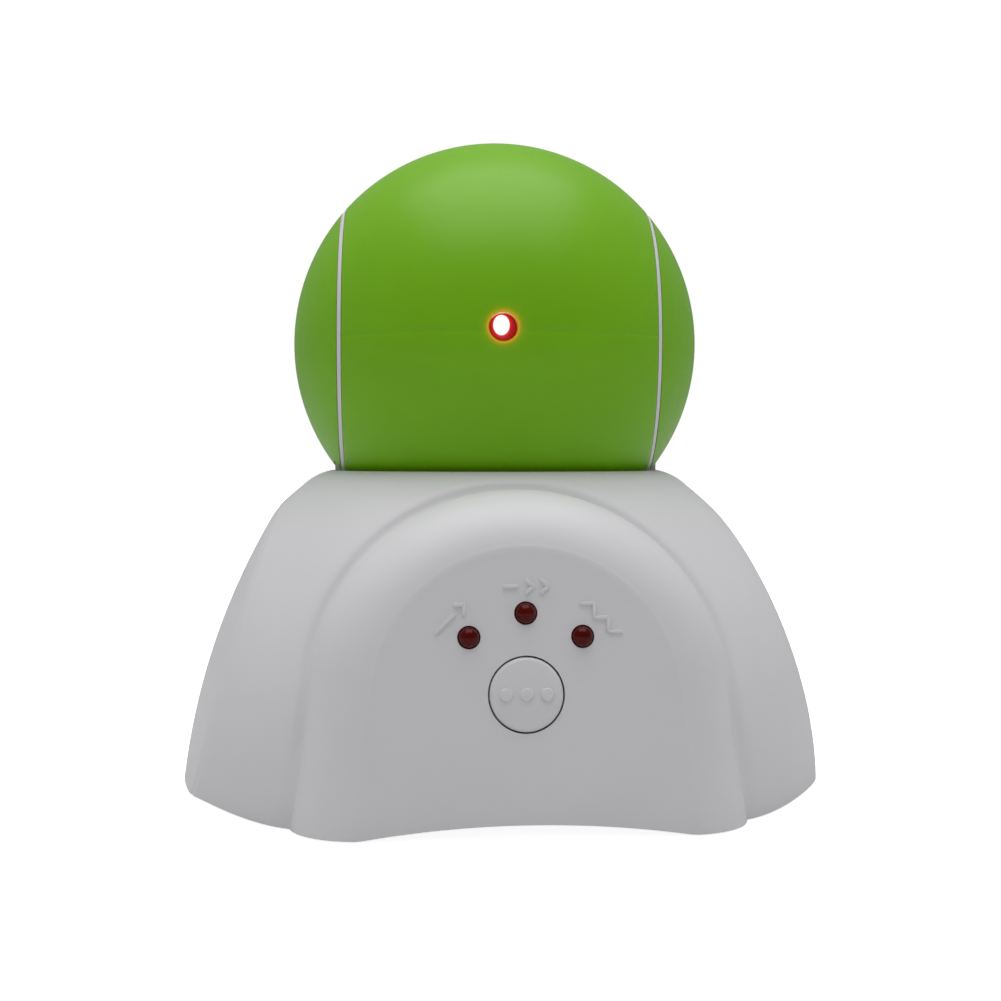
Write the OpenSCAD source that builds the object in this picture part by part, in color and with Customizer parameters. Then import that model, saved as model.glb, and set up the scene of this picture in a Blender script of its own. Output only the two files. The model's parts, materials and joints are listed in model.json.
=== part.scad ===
// Automatic cat teaser ball: a laser in a ball that pans and tilts on a battery base.
// The floor is z = 0, the pan axis is the Z axis and the control panel faces -Y.

/* [Ball] */
// Outer diameter of the ball
ball_d = 60; // [58:0.5:62]
// Wall of the ball's shells
ball_wall = 2; // [1.6:0.1:2.4]
// Width of the tilting middle band
band_w = 44.1; // [43:0.1:45]
// Height of the ball's centre above the top of the base
ball_rise = 19; // [18:0.25:20]
// Diameter of the laser window
window_d = 3.9; // [3.4:0.1:4.4]
// Gap between the two halves of the middle band
parting_gap = 0.15; // [0.05:0.05:0.3]
// Direction in which the ball looks at rest, from straight ahead
head_pan = -3; // [-10:1:10]

/* [Base] */
// Height of the base
base_h = 45.5; // [44:0.5:48]
// Radius of the domed skirt at the floor
skirt_r = 47.8; // [46.5:0.1:49]
// Radius of the dome's profile arc
dome_r = 60; // [58:0.5:64]
// Wall of the base shell
wall = 2; // [1.6:0.1:2.4]
// Rounding of the top edge
top_round = 1.6; // [0.8:0.1:2.4]
// Height of the skirt's rim above the floor
rim_z = 1.4; // [1:0.1:2]
// Height of the four corner toes above the floor
toe_z = 0.4; // [0.2:0.1:0.8]

/* [Front and back panels] */
// Distance of the face from the axis at the floor
face_d = 45; // [44:0.1:46]
// Backward lean of the face in degrees
face_tilt = 5; // [4:0.5:6]
// Half width of the arched panel
panel_r = 28; // [26.5:0.1:28.5]
// Radius of the flat field inside the rounded border
flat_r = 19.5; // [18:0.1:21]
// Height of the arch's centre up the face
panel_v = 16.2; // [15:0.1:17]
// Half width of the shallow arch in the lower edge
toe_x = 20.5; // [18:0.5:22]
// Rise of that arch above the toes
toe_rise = 2; // [1:0.1:2.5]

/* [Side flats] */
// Distance of the side flat from the axis at the floor
side_d = 46.2; // [45.4:0.1:47]
// Backward lean of the side flat in degrees
side_tilt = 14; // [12:0.5:16]

/* [Controls] */
// Diameter of the mode button
button_d = 9.3; // [8.5:0.1:10.5]
// Height of the button up the face
button_v = 18.1; // [17:0.1:19]
// How far the button stands proud
button_proud = 0.3; // [0.1:0.1:0.6]
// Travel of the button
button_travel = 0.6; // [0.4:0.1:0.8]
// Diameter of an indicator lamp
led_d = 2.9; // [2.5:0.1:3.2]
// Radius of the row of lamps about the button
led_ring_r = 10.15; // [9.5:0.05:11]
// Angle between lamps
led_step = 45; // [40:1:50]
// How far a lamp's dome stands proud
led_proud = 1; // [0.6:0.1:1.3]
// Length of a lamp's body
led_l = 5.3; // [4.5:0.1:6]

/* [Main board] */
// Width of the board
board_w = 34; // [32:0.5:35]
// Height of the board
board_h = 24; // [23:0.5:25]
// Thickness of the board
board_t = 1.6; // [1:0.1:2]
// Distance of the board behind the face
board_back = 9.4; // [9:0.1:10]
// Height of the board's centre up the face
board_v = 20.5; // [20:0.25:21]
// Width of the push switch
switch_w = 6; // [5.5:0.1:6.5]
// Height of the push switch's case
switch_h = 3.6; // [3.3:0.1:4]

/* [Power] */
// Diameter of a cell
cell_d = 14.5; // [13.8:0.1:14.8]
// Length of a cell with its nub
cell_l = 50.5; // [49:0.1:52]
// Length of a fitted contact spring
spring_l = 6.4; // [5.6:0.1:7]
// Wire diameter of a contact spring
spring_wire = 0.7; // [0.5:0.1:0.8]
// Thickness of a contact plate
contact_t = 0.4; // [0.3:0.1:0.6]
// Wall of the battery bay
bay_wall = 1.5; // [1.3:0.1:1.8]
// Height of the bottom plate above the floor
plate_z = 2.6; // [2.4:0.1:3]
// Thickness of the bottom plate
plate_t = 2.4; // [2.2:0.1:2.8]
// Thickness of the battery door
door_t = 2; // [1.8:0.1:2.2]
// Diameter of the door's hinge pins
door_pin_d = 1.2; // [1:0.1:1.3]
// Diameter of a rubber foot
foot_d = 8.4; // [7:0.2:9]

/* [Pan drive] */
// Gear module of the pan train
pan_module = 0.7; // [0.68:0.01:0.72]
// Teeth on the turntable gear
turntable_teeth = 56; // [54:1:58]
// Teeth on the small end of the idler
idler_small_teeth = 12; // [11:1:13]
// Teeth on the large end of the idler
idler_large_teeth = 36; // [35:1:38]
// Teeth on the motor pinion
motor_teeth = 10; // [10:1:11]
// Share of the train's height that a pan gear takes
gear_share = 0.345; // [0.32:0.005:0.36]
// Direction of the idler from the pan axis in degrees
idler_dir = 115; // [113:1:117]
// Direction of the motor from the idler in degrees
motor_dir = 38; // [36:1:42]
// Diameter of the motor
motor_d = 12; // [11:0.1:12.4]
// Length of the motor can
motor_l = 14.5; // [13:0.5:15.5]
// Diameter of the motor's shaft
motor_shaft_d = 1.5; // [1:0.1:2]
// Diameter of the idler's pin
idler_pin_d = 2; // [1.6:0.1:2.4]
// Diameter of the hollow pan post
post_d = 10; // [9.4:0.1:10.6]
// Bore of the pan post for the leads
post_bore_d = 6; // [5:0.1:6.4]

/* [Turntable and yoke] */
// Share of the pan train's height that the turntable disc takes
disc_share = 0.253; // [0.22:0.001:0.26]
// Room between the turntable and the ball
head_room = 3.6; // [3.4:0.1:4]
// Wall of the turntable's hub
hub_wall = 3; // [2.4:0.1:3.4]
// Thickness of the white flange that shows in a seam
flange_t = 0.5; // [0.4:0.05:0.8]
// Depth of that flange's edge below the ball's surface
seam_depth = 0.3; // [0.2:0.05:0.5]
// Thickness of a yoke leg
leg_t = 1.4; // [1.2:0.1:1.7]
// Width of a yoke leg
leg_w = 11; // [9:0.5:12]
// Thickness of the yoke boss inside a cap
yoke_boss_t = 1.5; // [1.2:0.1:1.9]
// Length of a yoke foot along the turntable
yoke_foot_l = 9.5; // [8.5:0.5:10.5]
// Diameter of a tilt stub
stub_d = 8; // [7.4:0.1:8.6]
// Bore of a tilt stub
stub_bore_d = 4.8; // [4:0.1:5.2]

/* [Tilt drive] */
// Gear module of the tilt pair
tilt_module = 0.6; // [0.58:0.01:0.62]
// Teeth on the fixed sun gear
sun_teeth = 32; // [31:1:33]
// Teeth on the tilt pinion
tilt_teeth = 12; // [12:1:13]
// Face width of the tilt gears
tilt_b = 2; // [1.6:0.1:2.2]
// Thickness of the drum's end plates
end_t = 1.8; // [1.5:0.1:2.2]
// Width of the tilt gear motor
gearbox_w = 12; // [11:0.1:12.5]
// Depth of the tilt gear motor
gearbox_h = 10; // [9:0.1:10.4]
// Length of the reduction case
gearbox_l = 9; // [8:0.5:10]
// Length of the tilt motor can
tilt_can_l = 14; // [12:0.5:15]
// Diameter of the gear motor's shaft
tilt_shaft_d = 3; // [2.6:0.1:3.2]

/* [Laser] */
// Diameter of the laser barrel
barrel_d = 6; // [5.6:0.1:6.4]
// Length of the laser barrel
barrel_l = 12.5; // [11.5:0.5:13.5]
// Gap between the barrel and the inside of the shell
barrel_gap = 1; // [0.6:0.1:1.6]
// Diameter of the laser's lens
lens_d = 4; // [3.6:0.1:4.2]
// Length of the laser's bracket along the barrel
bracket_l = 5.4; // [4.6:0.1:6]

/* [Clearances] */
// Radial running clearance of a bearing
run_fit = 0.05; // [0.03:0.01:0.08]
// Radial clearance of a pressed or located fit
seat_fit = 0.02; // [0.01:0.01:0.05]
// End gap beside a turning piece
end_gap = 0.2; // [0.15:0.05:0.3]
// Gap round the button, the door and the caps' notches
case_gap = 0.17; // [0.12:0.01:0.25]
// Gap between the yoke and the mouth of the base
mouth_gap = 0.5; // [0.4:0.1:0.8]
// Backlash between meshing teeth
backlash = 0.16; // [0.12:0.01:0.2]

/* [Hidden] */
$fn = 96;
white = "#eceaea";
green = "#86a51e";
big = 300;
skirt_drop = 6;
eps = 0.01;
over = 1;

// Ball and its stations along the tilt axis, measured from the ball's centre
ball_r = ball_d / 2;
ball_in_r = ball_r - ball_wall;
ball_z = base_h + ball_rise;
band_x = band_w / 2;
yoke_x = band_x + end_gap;
cap_x = yoke_x + flange_t;
boss_x = cap_x + yoke_boss_t;
leg_x = yoke_x + leg_t;
flange_r = sqrt(ball_r * ball_r - cap_x * cap_x) - seam_depth;
boss_room = 0.6;
boss_r = sqrt(ball_in_r * ball_in_r - boss_x * boss_x) - boss_room;
stub_shoulder = 1.6;
stub_step = 1.2;
sun_x1 = yoke_x - stub_shoulder;
sun_x0 = sun_x1 - tilt_b;
end_x1 = sun_x0 - 2 * end_gap;
end_x0 = end_x1 - end_t;
hub_l = 4.5;
hub_r = stub_d / 2 + 2 * stub_step;
sun_r = tilt_module * sun_teeth / 2;
tilt_reach = tilt_module * (sun_teeth + tilt_teeth) / 2;

// Base dome and its mouth
dome_c = skirt_r - dome_r;
mouth_r = sqrt(leg_x * leg_x + leg_w * leg_w / 4) + mouth_gap;
toe_arch_r = (toe_x * toe_x + toe_rise * toe_rise) / (2 * toe_rise);
crease = 10;
panel_depth = 20;
face_cover = 0.6;

// Battery bay: a row of three cells along X, laid head to tail
cells = 3;
cell_gap = 0.3;
plate_top = plate_z + plate_t;
door_top = plate_z + door_t;
cell_pitch = cell_d + 2 * cell_gap;
cell_z = door_top + cell_gap + cell_d / 2;
bay_l = cell_l + spring_l + 2 * contact_t;
bay_w = cells * cell_pitch;
bay_roof = cell_z + cell_d / 2 + cell_gap;
roof_z = bay_roof + bay_wall;
door_lap = 0.9;
hinge_pin_l = 1.6;
finger_d = 12;
finger_dip = 1;
nub_d = 5.5;
nub_l = 1.3;

// Pan train, in the height between the roof of the battery bay and the ball
train_gap = 1;
gear_lo = roof_z + train_gap;
disc_z1 = ball_z - ball_r - head_room;
train_h = disc_z1 - gear_lo;
disc_t = disc_share * train_h;
gear_b = gear_share * train_h;
disc_z0 = disc_z1 - disc_t;
gear_hi = disc_z0 - gear_b;
hub_z = roof_z + 2 * train_gap;
washer_t = 0.6;
washer_z = hub_z - washer_t - run_fit;
nut_t = 1.7;
nut_d = post_d + 4;
thread_d = post_d - 1.6;
clip_t = 0.5;
clip_wall = 1.1;
idler_top = disc_z0 - 0.4 * gear_b;
idler_boss_d = idler_pin_d + 3;
idler_seat = bay_roof + 0.4;
turntable_gear_r = pan_module * turntable_teeth / 2;
turntable_hub_r = post_d / 2 + hub_wall;
disc_r = mouth_r - mouth_gap + 0.1;
idler_reach = pan_module * (turntable_teeth + idler_small_teeth) / 2;
idler_at = idler_reach * [cos(idler_dir), sin(idler_dir)];
motor_reach = pan_module * (idler_large_teeth + motor_teeth) / 2;
motor_at = idler_at + motor_reach * [cos(motor_dir), sin(motor_dir)];
motor_room = 0.6;
motor_top = gear_lo - motor_room;
motor_z = motor_top - motor_l;
bell_t = 1.2;
bell_d = motor_d - 0.6;
bush_d = 4;
cup_h = 9;
cup_wall = 1.5;

// Case screws, board posts and rubber feet
case_boss_d = 6.4;
case_boss_in = 0.75;
case_boss_room = 1.5;
case_screw_r = skirt_r - wall - case_boss_d / 2 - case_boss_in;
case_screw_y = bay_w / 2 + bay_wall + case_boss_room + case_boss_d / 2;
case_screw_at = [sqrt(case_screw_r * case_screw_r - case_screw_y * case_screw_y), case_screw_y];
case_screw_d = 2.6;
screw_head_d = 4.4;
screw_head_h = 1.4;
case_screw_l = 9;
screw_sink = 0.9;
plate_fit = 0.3;
board_post = [board_w / 2 - 3, board_h / 2 - 3];
board_post_d = 4.4;
board_screw_in = 3.8;
small_screw_d = 2;
tip_room = 0.5;
clear_fit = 0.15;
small_head_d = 3.6;
small_head_h = 1.2;
foot_in = 1.2;
foot_at = [toe_x, face_d - wall - foot_d / 2 - foot_in];
foot_seat = 0.6;
foot_bevel = 0.5;
yoke_foot_t = 1.8;
yoke_screw_at = [leg_x - yoke_foot_l + 3, leg_w / 2 - 2.3];
drum_screw_room = 0.8;
drum_head_x = end_x1 + small_head_h;
drum_screw_r = sqrt(ball_in_r * ball_in_r - drum_head_x * drum_head_x) - small_head_d / 2 - drum_screw_room;
drum_boss_l = 7;

// Stack behind the button, measured inward from the face
button_flange_t = 1;
button_flange_d = button_d + 2.4;
plunger_d = 3.4;
plunger_rise = 1;
plunger_top = board_back - switch_h - plunger_rise;
switch_floor = 1;

// Laser stack, measured from the ball's centre towards the front
barrel_y = ball_in_r - barrel_gap;
lens_t = 0.8;
lens_rim = 0.5;

// Involute gear by formula, with a tooth centred on the X axis
pressure = 25;
addendum = 0.85;
dedendum = 1.1;
function involute(a) = tan(a) * 180 / PI - a;
function tooth_half(rp, teeth, r) =
  let (rb = rp * cos(pressure))
  90 / teeth - backlash / 4 / rp * 180 / PI + involute(pressure) - (r > rb ? involute(acos(rb / r)) : 0);
function polar(r, a) = [r * cos(a), r * sin(a)];

module gear(modulus, teeth, width) {
  rp = modulus * teeth / 2;
  root = rp - dedendum * modulus;
  radii = [root, max(root + eps, rp * cos(pressure)), rp, rp + addendum * modulus];
  flanks = [
    for (i = [0 : teeth - 1])
      for (s = [-1, 1])
        for (k = [0 : len(radii) - 1])
          let (r = radii[s < 0 ? k : len(radii) - 1 - k])
          polar(r, 360 * i / teeth + s * tooth_half(rp, teeth, r))
  ];
  linear_extrude(width) polygon(flanks);
}

// Turns a gear of that many teeth so that it meshes along a direction, with a tooth or a gap there
module mesh_tooth(direction) rotate(direction) children();
module mesh_gap(direction, teeth) rotate(direction + 180 / teeth) children();

// Screw with a pan head, its shank along -Z from the seat of the head
module screw(d, l, head_d, head_h) {
  translate([0, 0, -l]) cylinder(d = d, h = l);
  cylinder(d = head_d, h = head_h);
}

module tube(od, id, h) {
  difference() {
    cylinder(d = od, h = h);
    translate([0, 0, -eps]) cylinder(d = id, h = h + 2 * eps);
  }
}

module four_corners(at) {
  for (sx = [-1, 1])
    for (sy = [-1, 1])
      translate([sx * at[0], sy * at[1], 0]) children();
}

// Frame of a leaning face: X along it, Y up it, Z out of it
module on_face(d, tilt) translate([0, -d, 0]) rotate([90 - tilt, 0, 0]) children();
module on_panel() on_face(face_d, face_tilt) children();

// Frames of the panning head and of the ball's centre, and an axis along X
module in_head() rotate(head_pan) children();
module at_ball() in_head() translate([0, 0, ball_z]) children();
module along_x() rotate([0, 90, 0]) children();

// Outer form of the base, or the same form drawn in by an inset for its cavity
module dome_profile(inset, round) {
  r = dome_r - inset;
  h = base_h - inset;
  corner = [sqrt(pow(r - round, 2) - pow(h - round, 2)), h - round];
  beyond = corner * (r + over) / (r - round);
  difference() {
    intersection() {
      translate([dome_c, 0]) circle(r = r);
      translate([0, -skirt_drop]) square([r, h + skirt_drop]);
    }
    if (round > 0)
      translate([dome_c, 0]) difference() {
        polygon([corner, beyond, [beyond[0], h + over], [corner[0], h + over]]);
        translate(corner) circle(r = round);
      }
  }
}

module border_profile(r, flat, depth) {
  bend = (r - flat) / (1 - sin(crease));
  centre = [flat - bend * sin(crease), depth - bend * cos(crease)];
  intersection() {
    square([r - eps, depth]);
    union() {
      square([centre[0], depth]);
      square([r, centre[1]]);
      translate(centre) circle(r = bend);
    }
  }
}

module arched_panel(d, tilt, r, flat, v) {
  drop = v + skirt_drop;
  on_face(d, tilt) translate([0, v, -panel_depth]) {
    rotate_extrude(angle = 180) border_profile(r, flat, panel_depth);
    rotate([90, 0, 0]) linear_extrude(drop) {
      border_profile(r, flat, panel_depth);
      mirror([1, 0]) border_profile(r, flat, panel_depth);
    }
  }
}

module beyond_face(d, tilt) on_face(d, tilt) translate([-big / 2, -big / 2, 0]) cube(big);
module above(z) translate([-big / 2, -big / 2, z]) cube(big);

module wide_panels(inset) {
  for (turn = [0, 180])
    rotate(turn) arched_panel(face_d - inset, face_tilt, panel_r - inset, flat_r, panel_v);
}

// Dome with a flat on each side, cut clear of the front and back faces
module flanked_dome(inset, round) {
  difference() {
    rotate_extrude() dome_profile(inset, round);
    for (turn = [0, 180]) {
      rotate(turn) beyond_face(face_d - inset - face_cover, face_tilt);
      rotate(turn + 90) beyond_face(side_d - inset, side_tilt);
    }
  }
}

module base_inside(inset) {
  flanked_dome(inset, 0);
  wide_panels(inset);
}

module lamp_places() {
  for (i = [-1 : 1])
    lamp_place(i) children();
}
module lamp_place(i) {
  translate([led_ring_r * sin(i * led_step), button_v + led_ring_r * cos(i * led_step), 0]) children();
}

module base_shell() {
  color(white) difference() {
    union() {
      difference() {
        union() {
          intersection() {
            flanked_dome(0, top_round);
            above(rim_z);
          }
          intersection() {
            wide_panels(0);
            above(toe_z);
          }
        }
        base_inside(wall);
      }
      intersection() {
        rotate_extrude() dome_profile(wall / 2, 0);
        four_corners(case_screw_at) translate([0, 0, plate_top]) cylinder(d = case_boss_d, h = base_h);
      }
      on_panel() translate([0, board_v, -board_back])
        four_corners(board_post) cylinder(d = board_post_d, h = board_back - wall / 2);
    }
    cylinder(r = mouth_r, h = big);
    translate([0, 0, toe_z + toe_rise - toe_arch_r])
      rotate([90, 0, 0]) cylinder(r = toe_arch_r, h = big, center = true, $fn = 360);
    four_corners(case_screw_at)
      cylinder(d = case_screw_d + 2 * seat_fit, h = plate_z + screw_sink + case_screw_l + tip_room);
    on_panel() {
      translate([0, button_v, -2 * wall]) cylinder(d = button_d + 2 * case_gap, h = 4 * wall);
      translate([0, 0, -2 * wall]) lamp_places() cylinder(d = led_d + 2 * run_fit, h = 4 * wall);
      translate([0, board_v, -board_back - over]) four_corners(board_post)
        cylinder(d = small_screw_d + 2 * seat_fit, h = over + board_screw_in + tip_room);
    }
  }
}

module bottom_plate() {
  shoulder_h = washer_z - roof_z;
  color(white) difference() {
    union() {
      intersection() {
        base_inside(wall + plate_fit);
        union() {
          translate([-big / 2, -big / 2, plate_z]) cube([big, big, plate_t]);
          translate([-bay_l / 2 - bay_wall, -bay_w / 2 - bay_wall, plate_z])
            cube([bay_l + 2 * bay_wall, bay_w + 2 * bay_wall, roof_z - plate_z]);
        }
      }
      translate([0, 0, bay_roof]) {
        cylinder(d = post_d, h = disc_z1 + end_gap - bay_roof);
        cylinder(d = thread_d, h = disc_z1 + end_gap + nut_t - bay_roof);
        cylinder(r = turntable_hub_r, h = washer_z - bay_roof);
        translate(idler_at) cylinder(d = idler_boss_d, h = gear_lo - end_gap - bay_roof);
      }
      translate([motor_at[0], motor_at[1], plate_z])
        cylinder(d = motor_d + 2 * cup_wall, h = motor_z + cup_h - plate_z);
    }
    translate([-bay_l / 2, -bay_w / 2, 0]) cube([bay_l, bay_w, bay_roof]);
    door_room(case_gap, door_top + end_gap / 2);
    door_pins(2 * run_fit, 2 * end_gap);
    translate([bay_l / 2 + door_lap, 0, 0]) cylinder(d = finger_d, h = plate_z + finger_dip);
    translate([0, 0, roof_z]) cylinder(d = post_bore_d, h = big);
    translate([-post_bore_d / 4, -big, roof_z]) cube([post_bore_d / 2, big, shoulder_h]);
    translate([idler_at[0], idler_at[1], idler_seat]) cylinder(d = idler_pin_d + 2 * seat_fit, h = big);
    translate([motor_at[0], motor_at[1], motor_z - bell_t]) cylinder(d = motor_d + 2 * seat_fit, h = big);
    four_corners(case_screw_at) {
      cylinder(d = case_screw_d + 2 * clear_fit, h = big);
      cylinder(d = screw_head_d + 2 * clear_fit, h = plate_z + screw_sink);
    }
    four_corners(foot_at) cylinder(d = foot_d + 2 * seat_fit, h = plate_z + foot_seat);
  }
}

// Room for the battery door, with a gap all round
module door_room(gap, top) {
  half = [bay_l / 2 + door_lap, bay_w / 2 + door_lap];
  translate([-half[0] - gap, -half[1] - gap, 0]) cube([2 * (half[0] + gap), 2 * (half[1] + gap), top]);
}

module on_door_axis() {
  translate([-bay_l / 2 - door_lap + door_t / 2, 0, plate_z + door_t / 2]) rotate([90, 0, 0]) children();
}

module door_pins(grow, reach) {
  l = bay_w + 2 * door_lap + 2 * (hinge_pin_l + reach);
  on_door_axis() cylinder(d = door_pin_d + grow, h = l, center = true);
}

module battery_door() {
  w = bay_w + 2 * door_lap;
  color(white) {
    on_door_axis() cylinder(d = door_t, h = w, center = true);
    door_pins(0, 0);
    translate([-bay_l / 2 - door_lap + door_t / 2, -w / 2, plate_z])
      cube([bay_l + 2 * door_lap - door_t / 2, w, door_t]);
  }
}

module case_screws() {
  color("silver") four_corners(case_screw_at) translate([0, 0, plate_z + screw_sink]) rotate([180, 0, 0])
    screw(case_screw_d, case_screw_l, screw_head_d, screw_head_h);
}

module rubber_feet() {
  color("#2a2a2c") four_corners(foot_at) {
    cylinder(d1 = foot_d - 2 * foot_bevel, d2 = foot_d, h = foot_bevel);
    translate([0, 0, foot_bevel]) cylinder(d = foot_d, h = plate_z + foot_seat - foot_bevel);
  }
}

// Cell of the row, its nub to the right or, turned, to the left
module cell(i) {
  side = i % 2 == 0 ? 1 : -1;
  color("#4a5560") translate([side * (bay_l / 2 - contact_t), (i - 1) * cell_pitch, cell_z])
    rotate([0, -90 * side, 0]) {
      cylinder(d = nub_d, h = nub_l);
      translate([0, 0, nub_l]) cylinder(d = cell_d, h = cell_l - nub_l);
    }
}

// Contact plates join the cells in series and end at the two leads
module contact_plates() {
  pad = cell_d / 3;
  spans = [[-1, -1, -1], [-1, 0, 1], [1, -1, 0], [1, 1, 1]];
  color("silver") for (span = spans) {
    y0 = span[1] * cell_pitch - pad;
    y1 = span[2] * cell_pitch + pad;
    translate([span[0] * (bay_l - contact_t) / 2, (y0 + y1) / 2, cell_z])
      cube([contact_t, y1 - y0, 2 * pad], center = true);
  }
}

// Tube swept along a list of points, each with its sideways direction
module swept(path, out, r, sides) {
  last = len(path) - 1;
  points = [
    for (i = [0 : last])
      let (
        ahead = path[min(i + 1, last)] - path[max(i - 1, 0)],
        t = ahead / norm(ahead),
        up = cross(t, out[i]) / norm(cross(t, out[i])),
        side = cross(up, t)
      )
      for (k = [0 : sides - 1])
        path[i] + r * (cos(360 * k / sides) * side + sin(360 * k / sides) * up)
  ];
  walls = [
    for (i = [0 : last - 1])
      for (k = [0 : sides - 1])
        let (a = i * sides + k, b = i * sides + (k + 1) % sides)
        for (f = [[a, b, b + sides], [a, b + sides, a + sides]])
          f
  ];
  start = [for (k = [1 : sides - 2]) [0, k + 1, k]];
  end = [for (k = [1 : sides - 2]) [last * sides, last * sides + k, last * sides + k + 1]];
  polyhedron(points, concat(start, walls, end));
}

// Conical contact spring along +Z, wide at its plate
module contact_spring() {
  turns = 3.5;
  steps = 28;
  wire_r = spring_wire / 2;
  lift = wire_r + seat_fit;
  wide = 0.32 * cell_d;
  narrow = 0.2 * cell_d;
  at = [for (i = [0 : steps]) i / steps];
  path = [
    for (u = at)
      let (p = polar(wide + (narrow - wide) * u, 360 * turns * u))
      [p[0], p[1], lift + (spring_l - 2 * lift) * u]
  ];
  swept(path, [for (u = at) [cos(360 * turns * u), sin(360 * turns * u), 0]], wire_r, 6);
}

module contact_springs() {
  color("silver") for (i = [-1 : 1]) {
    side = i == 0 ? 1 : -1;
    translate([side * (bay_l / 2 - contact_t), i * cell_pitch, cell_z])
      rotate([0, -90 * side, 0]) contact_spring();
  }
}

module main_board() {
  color("#2f6b3c") on_panel() translate([0, board_v, -board_back - board_t]) difference() {
    translate([-board_w / 2, -board_h / 2, 0]) cube([board_w, board_h, board_t]);
    four_corners(board_post) translate([0, 0, -eps])
      cylinder(d = small_screw_d + 2 * clear_fit, h = board_t + over);
  }
}

module controller_chip() {
  chip = [10, 6, 1.6];
  low = [-chip[0] / 2, board_v - board_h / 4 - chip[1] / 2, -board_back - board_t - chip[2]];
  color("#202022") on_panel() translate(low) cube(chip);
}

module board_screws() {
  color("silver") on_panel() translate([0, board_v, -board_back - board_t])
    four_corners(board_post) rotate([180, 0, 0])
      screw(small_screw_d, board_t + board_screw_in, small_head_d, small_head_h);
}

module switch_case() {
  color("#2b2b2e") on_panel() translate([0, button_v, -board_back]) difference() {
    translate([-switch_w / 2, -switch_w / 2, 0]) cube([switch_w, switch_w, switch_h]);
    translate([0, 0, switch_floor]) cylinder(d = plunger_d + 2 * run_fit, h = switch_h);
  }
}

module switch_plunger() {
  inside = switch_h - switch_floor - button_travel - end_gap;
  color("#d9d4c6") on_panel() translate([0, button_v, -board_back + switch_h - inside])
    cylinder(d = plunger_d, h = inside + board_back - switch_h - plunger_top);
}

module mode_button() {
  back = wall + end_gap / 2;
  edge = 0.35;
  color(white) on_panel() translate([0, button_v, 0]) {
    rotate_extrude() polygon([
      [0, -back - button_flange_t], [button_d / 2, -back - button_flange_t],
      [button_d / 2, button_proud - edge], [button_d / 2 - edge, button_proud], [0, button_proud]
    ]);
    translate([0, 0, -back - button_flange_t]) cylinder(d = button_flange_d, h = button_flange_t);
    translate([0, 0, -plunger_top + run_fit]) cylinder(d = plunger_d, h = plunger_top - back);
  }
}

// Indicator lamp: a domed lens with a base flange and two legs
module lamp(i) {
  r = led_d / 2;
  foot = led_proud - led_l;
  rim = 0.3;
  rim_h = 1;
  lead = 0.5;
  color("#a1121c") on_panel() lamp_place(i) {
    rotate_extrude() intersection() {
      translate([0, foot]) square([r, led_l]);
      union() {
        translate([0, led_proud - r]) circle(r = r);
        translate([0, foot]) square([r, led_l - r]);
      }
    }
    translate([0, 0, foot]) cylinder(r = r + rim, h = rim_h);
    for (s = [-1, 1])
      translate([s * r / 2 - lead / 2, -lead / 2, -board_back])
        cube([lead, lead, board_back + foot + rim_h / 2]);
  }
}
module lamp_left() lamp(-1);
module lamp_middle() lamp(0);
module lamp_right() lamp(1);

module at_motor(z) translate([motor_at[0], motor_at[1], z]) children();
module at_idler(z) translate([idler_at[0], idler_at[1], z]) children();
module bored(d, h) {
  difference() {
    children();
    translate([0, 0, -eps]) cylinder(d = d, h = h + 2 * eps);
  }
}

module pan_motor() {
  nose = 0.4;
  seat = 6;
  color("silver") at_motor(motor_z) difference() {
    union() {
      cylinder(d = motor_d, h = motor_l);
      cylinder(d = bush_d, h = motor_l + nose);
    }
    translate([0, 0, motor_l - seat]) cylinder(d = motor_shaft_d + 2 * run_fit, h = seat + over);
  }
}

module pan_motor_bell() color("#d8d3c4") at_motor(motor_z - bell_t) cylinder(d = bell_d, h = bell_t);

module pan_motor_shaft() {
  seat = 5.5;
  color("silver") at_motor(motor_top - seat)
    cylinder(d = motor_shaft_d, h = seat + motor_room + gear_b);
}

module pan_motor_pinion() {
  color("#e6dfc8") at_motor(gear_lo) bored(motor_shaft_d + 2 * seat_fit, gear_b)
    mesh_gap(motor_dir + 180, motor_teeth) gear(pan_module, motor_teeth, gear_b);
}

module idler_pin() {
  color("silver") at_idler(idler_seat)
    cylinder(d = idler_pin_d, h = idler_top + run_fit + clip_t - idler_seat);
}

module idler_clip() {
  color("#3a3a3c") at_idler(idler_top + run_fit)
    tube(idler_pin_d + 2 * clip_wall, idler_pin_d + 2 * seat_fit, clip_t);
}

module idler_gear() {
  color("#e6dfc8") at_idler(gear_lo) bored(idler_pin_d + 2 * run_fit, idler_top - gear_lo) {
    mesh_tooth(motor_dir) gear(pan_module, idler_large_teeth, gear_b);
    mesh_gap(idler_dir + 180, idler_small_teeth) gear(pan_module, idler_small_teeth, idler_top - gear_lo);
  }
}

module thrust_washer() {
  color("#bfb9a8") translate([0, 0, washer_z]) tube(2 * turntable_hub_r, post_d + 2 * seat_fit, washer_t);
}

module post_nut() {
  color("silver") translate([0, 0, disc_z1 + end_gap]) difference() {
    cylinder(d = nut_d, h = nut_t, $fn = 6);
    translate([0, 0, -eps]) cylinder(d = thread_d + 2 * seat_fit, h = nut_t + over);
  }
}

module turntable() {
  color(white) in_head() difference() {
    union() {
      translate([0, 0, disc_z0]) cylinder(r = disc_r, h = disc_t);
      translate([0, 0, hub_z]) cylinder(r = turntable_hub_r, h = disc_z1 - hub_z);
    }
    cylinder(d = post_d + 2 * run_fit, h = big);
    four_corners(yoke_screw_at) cylinder(d = small_screw_d + 2 * seat_fit, h = big);
  }
}

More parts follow.
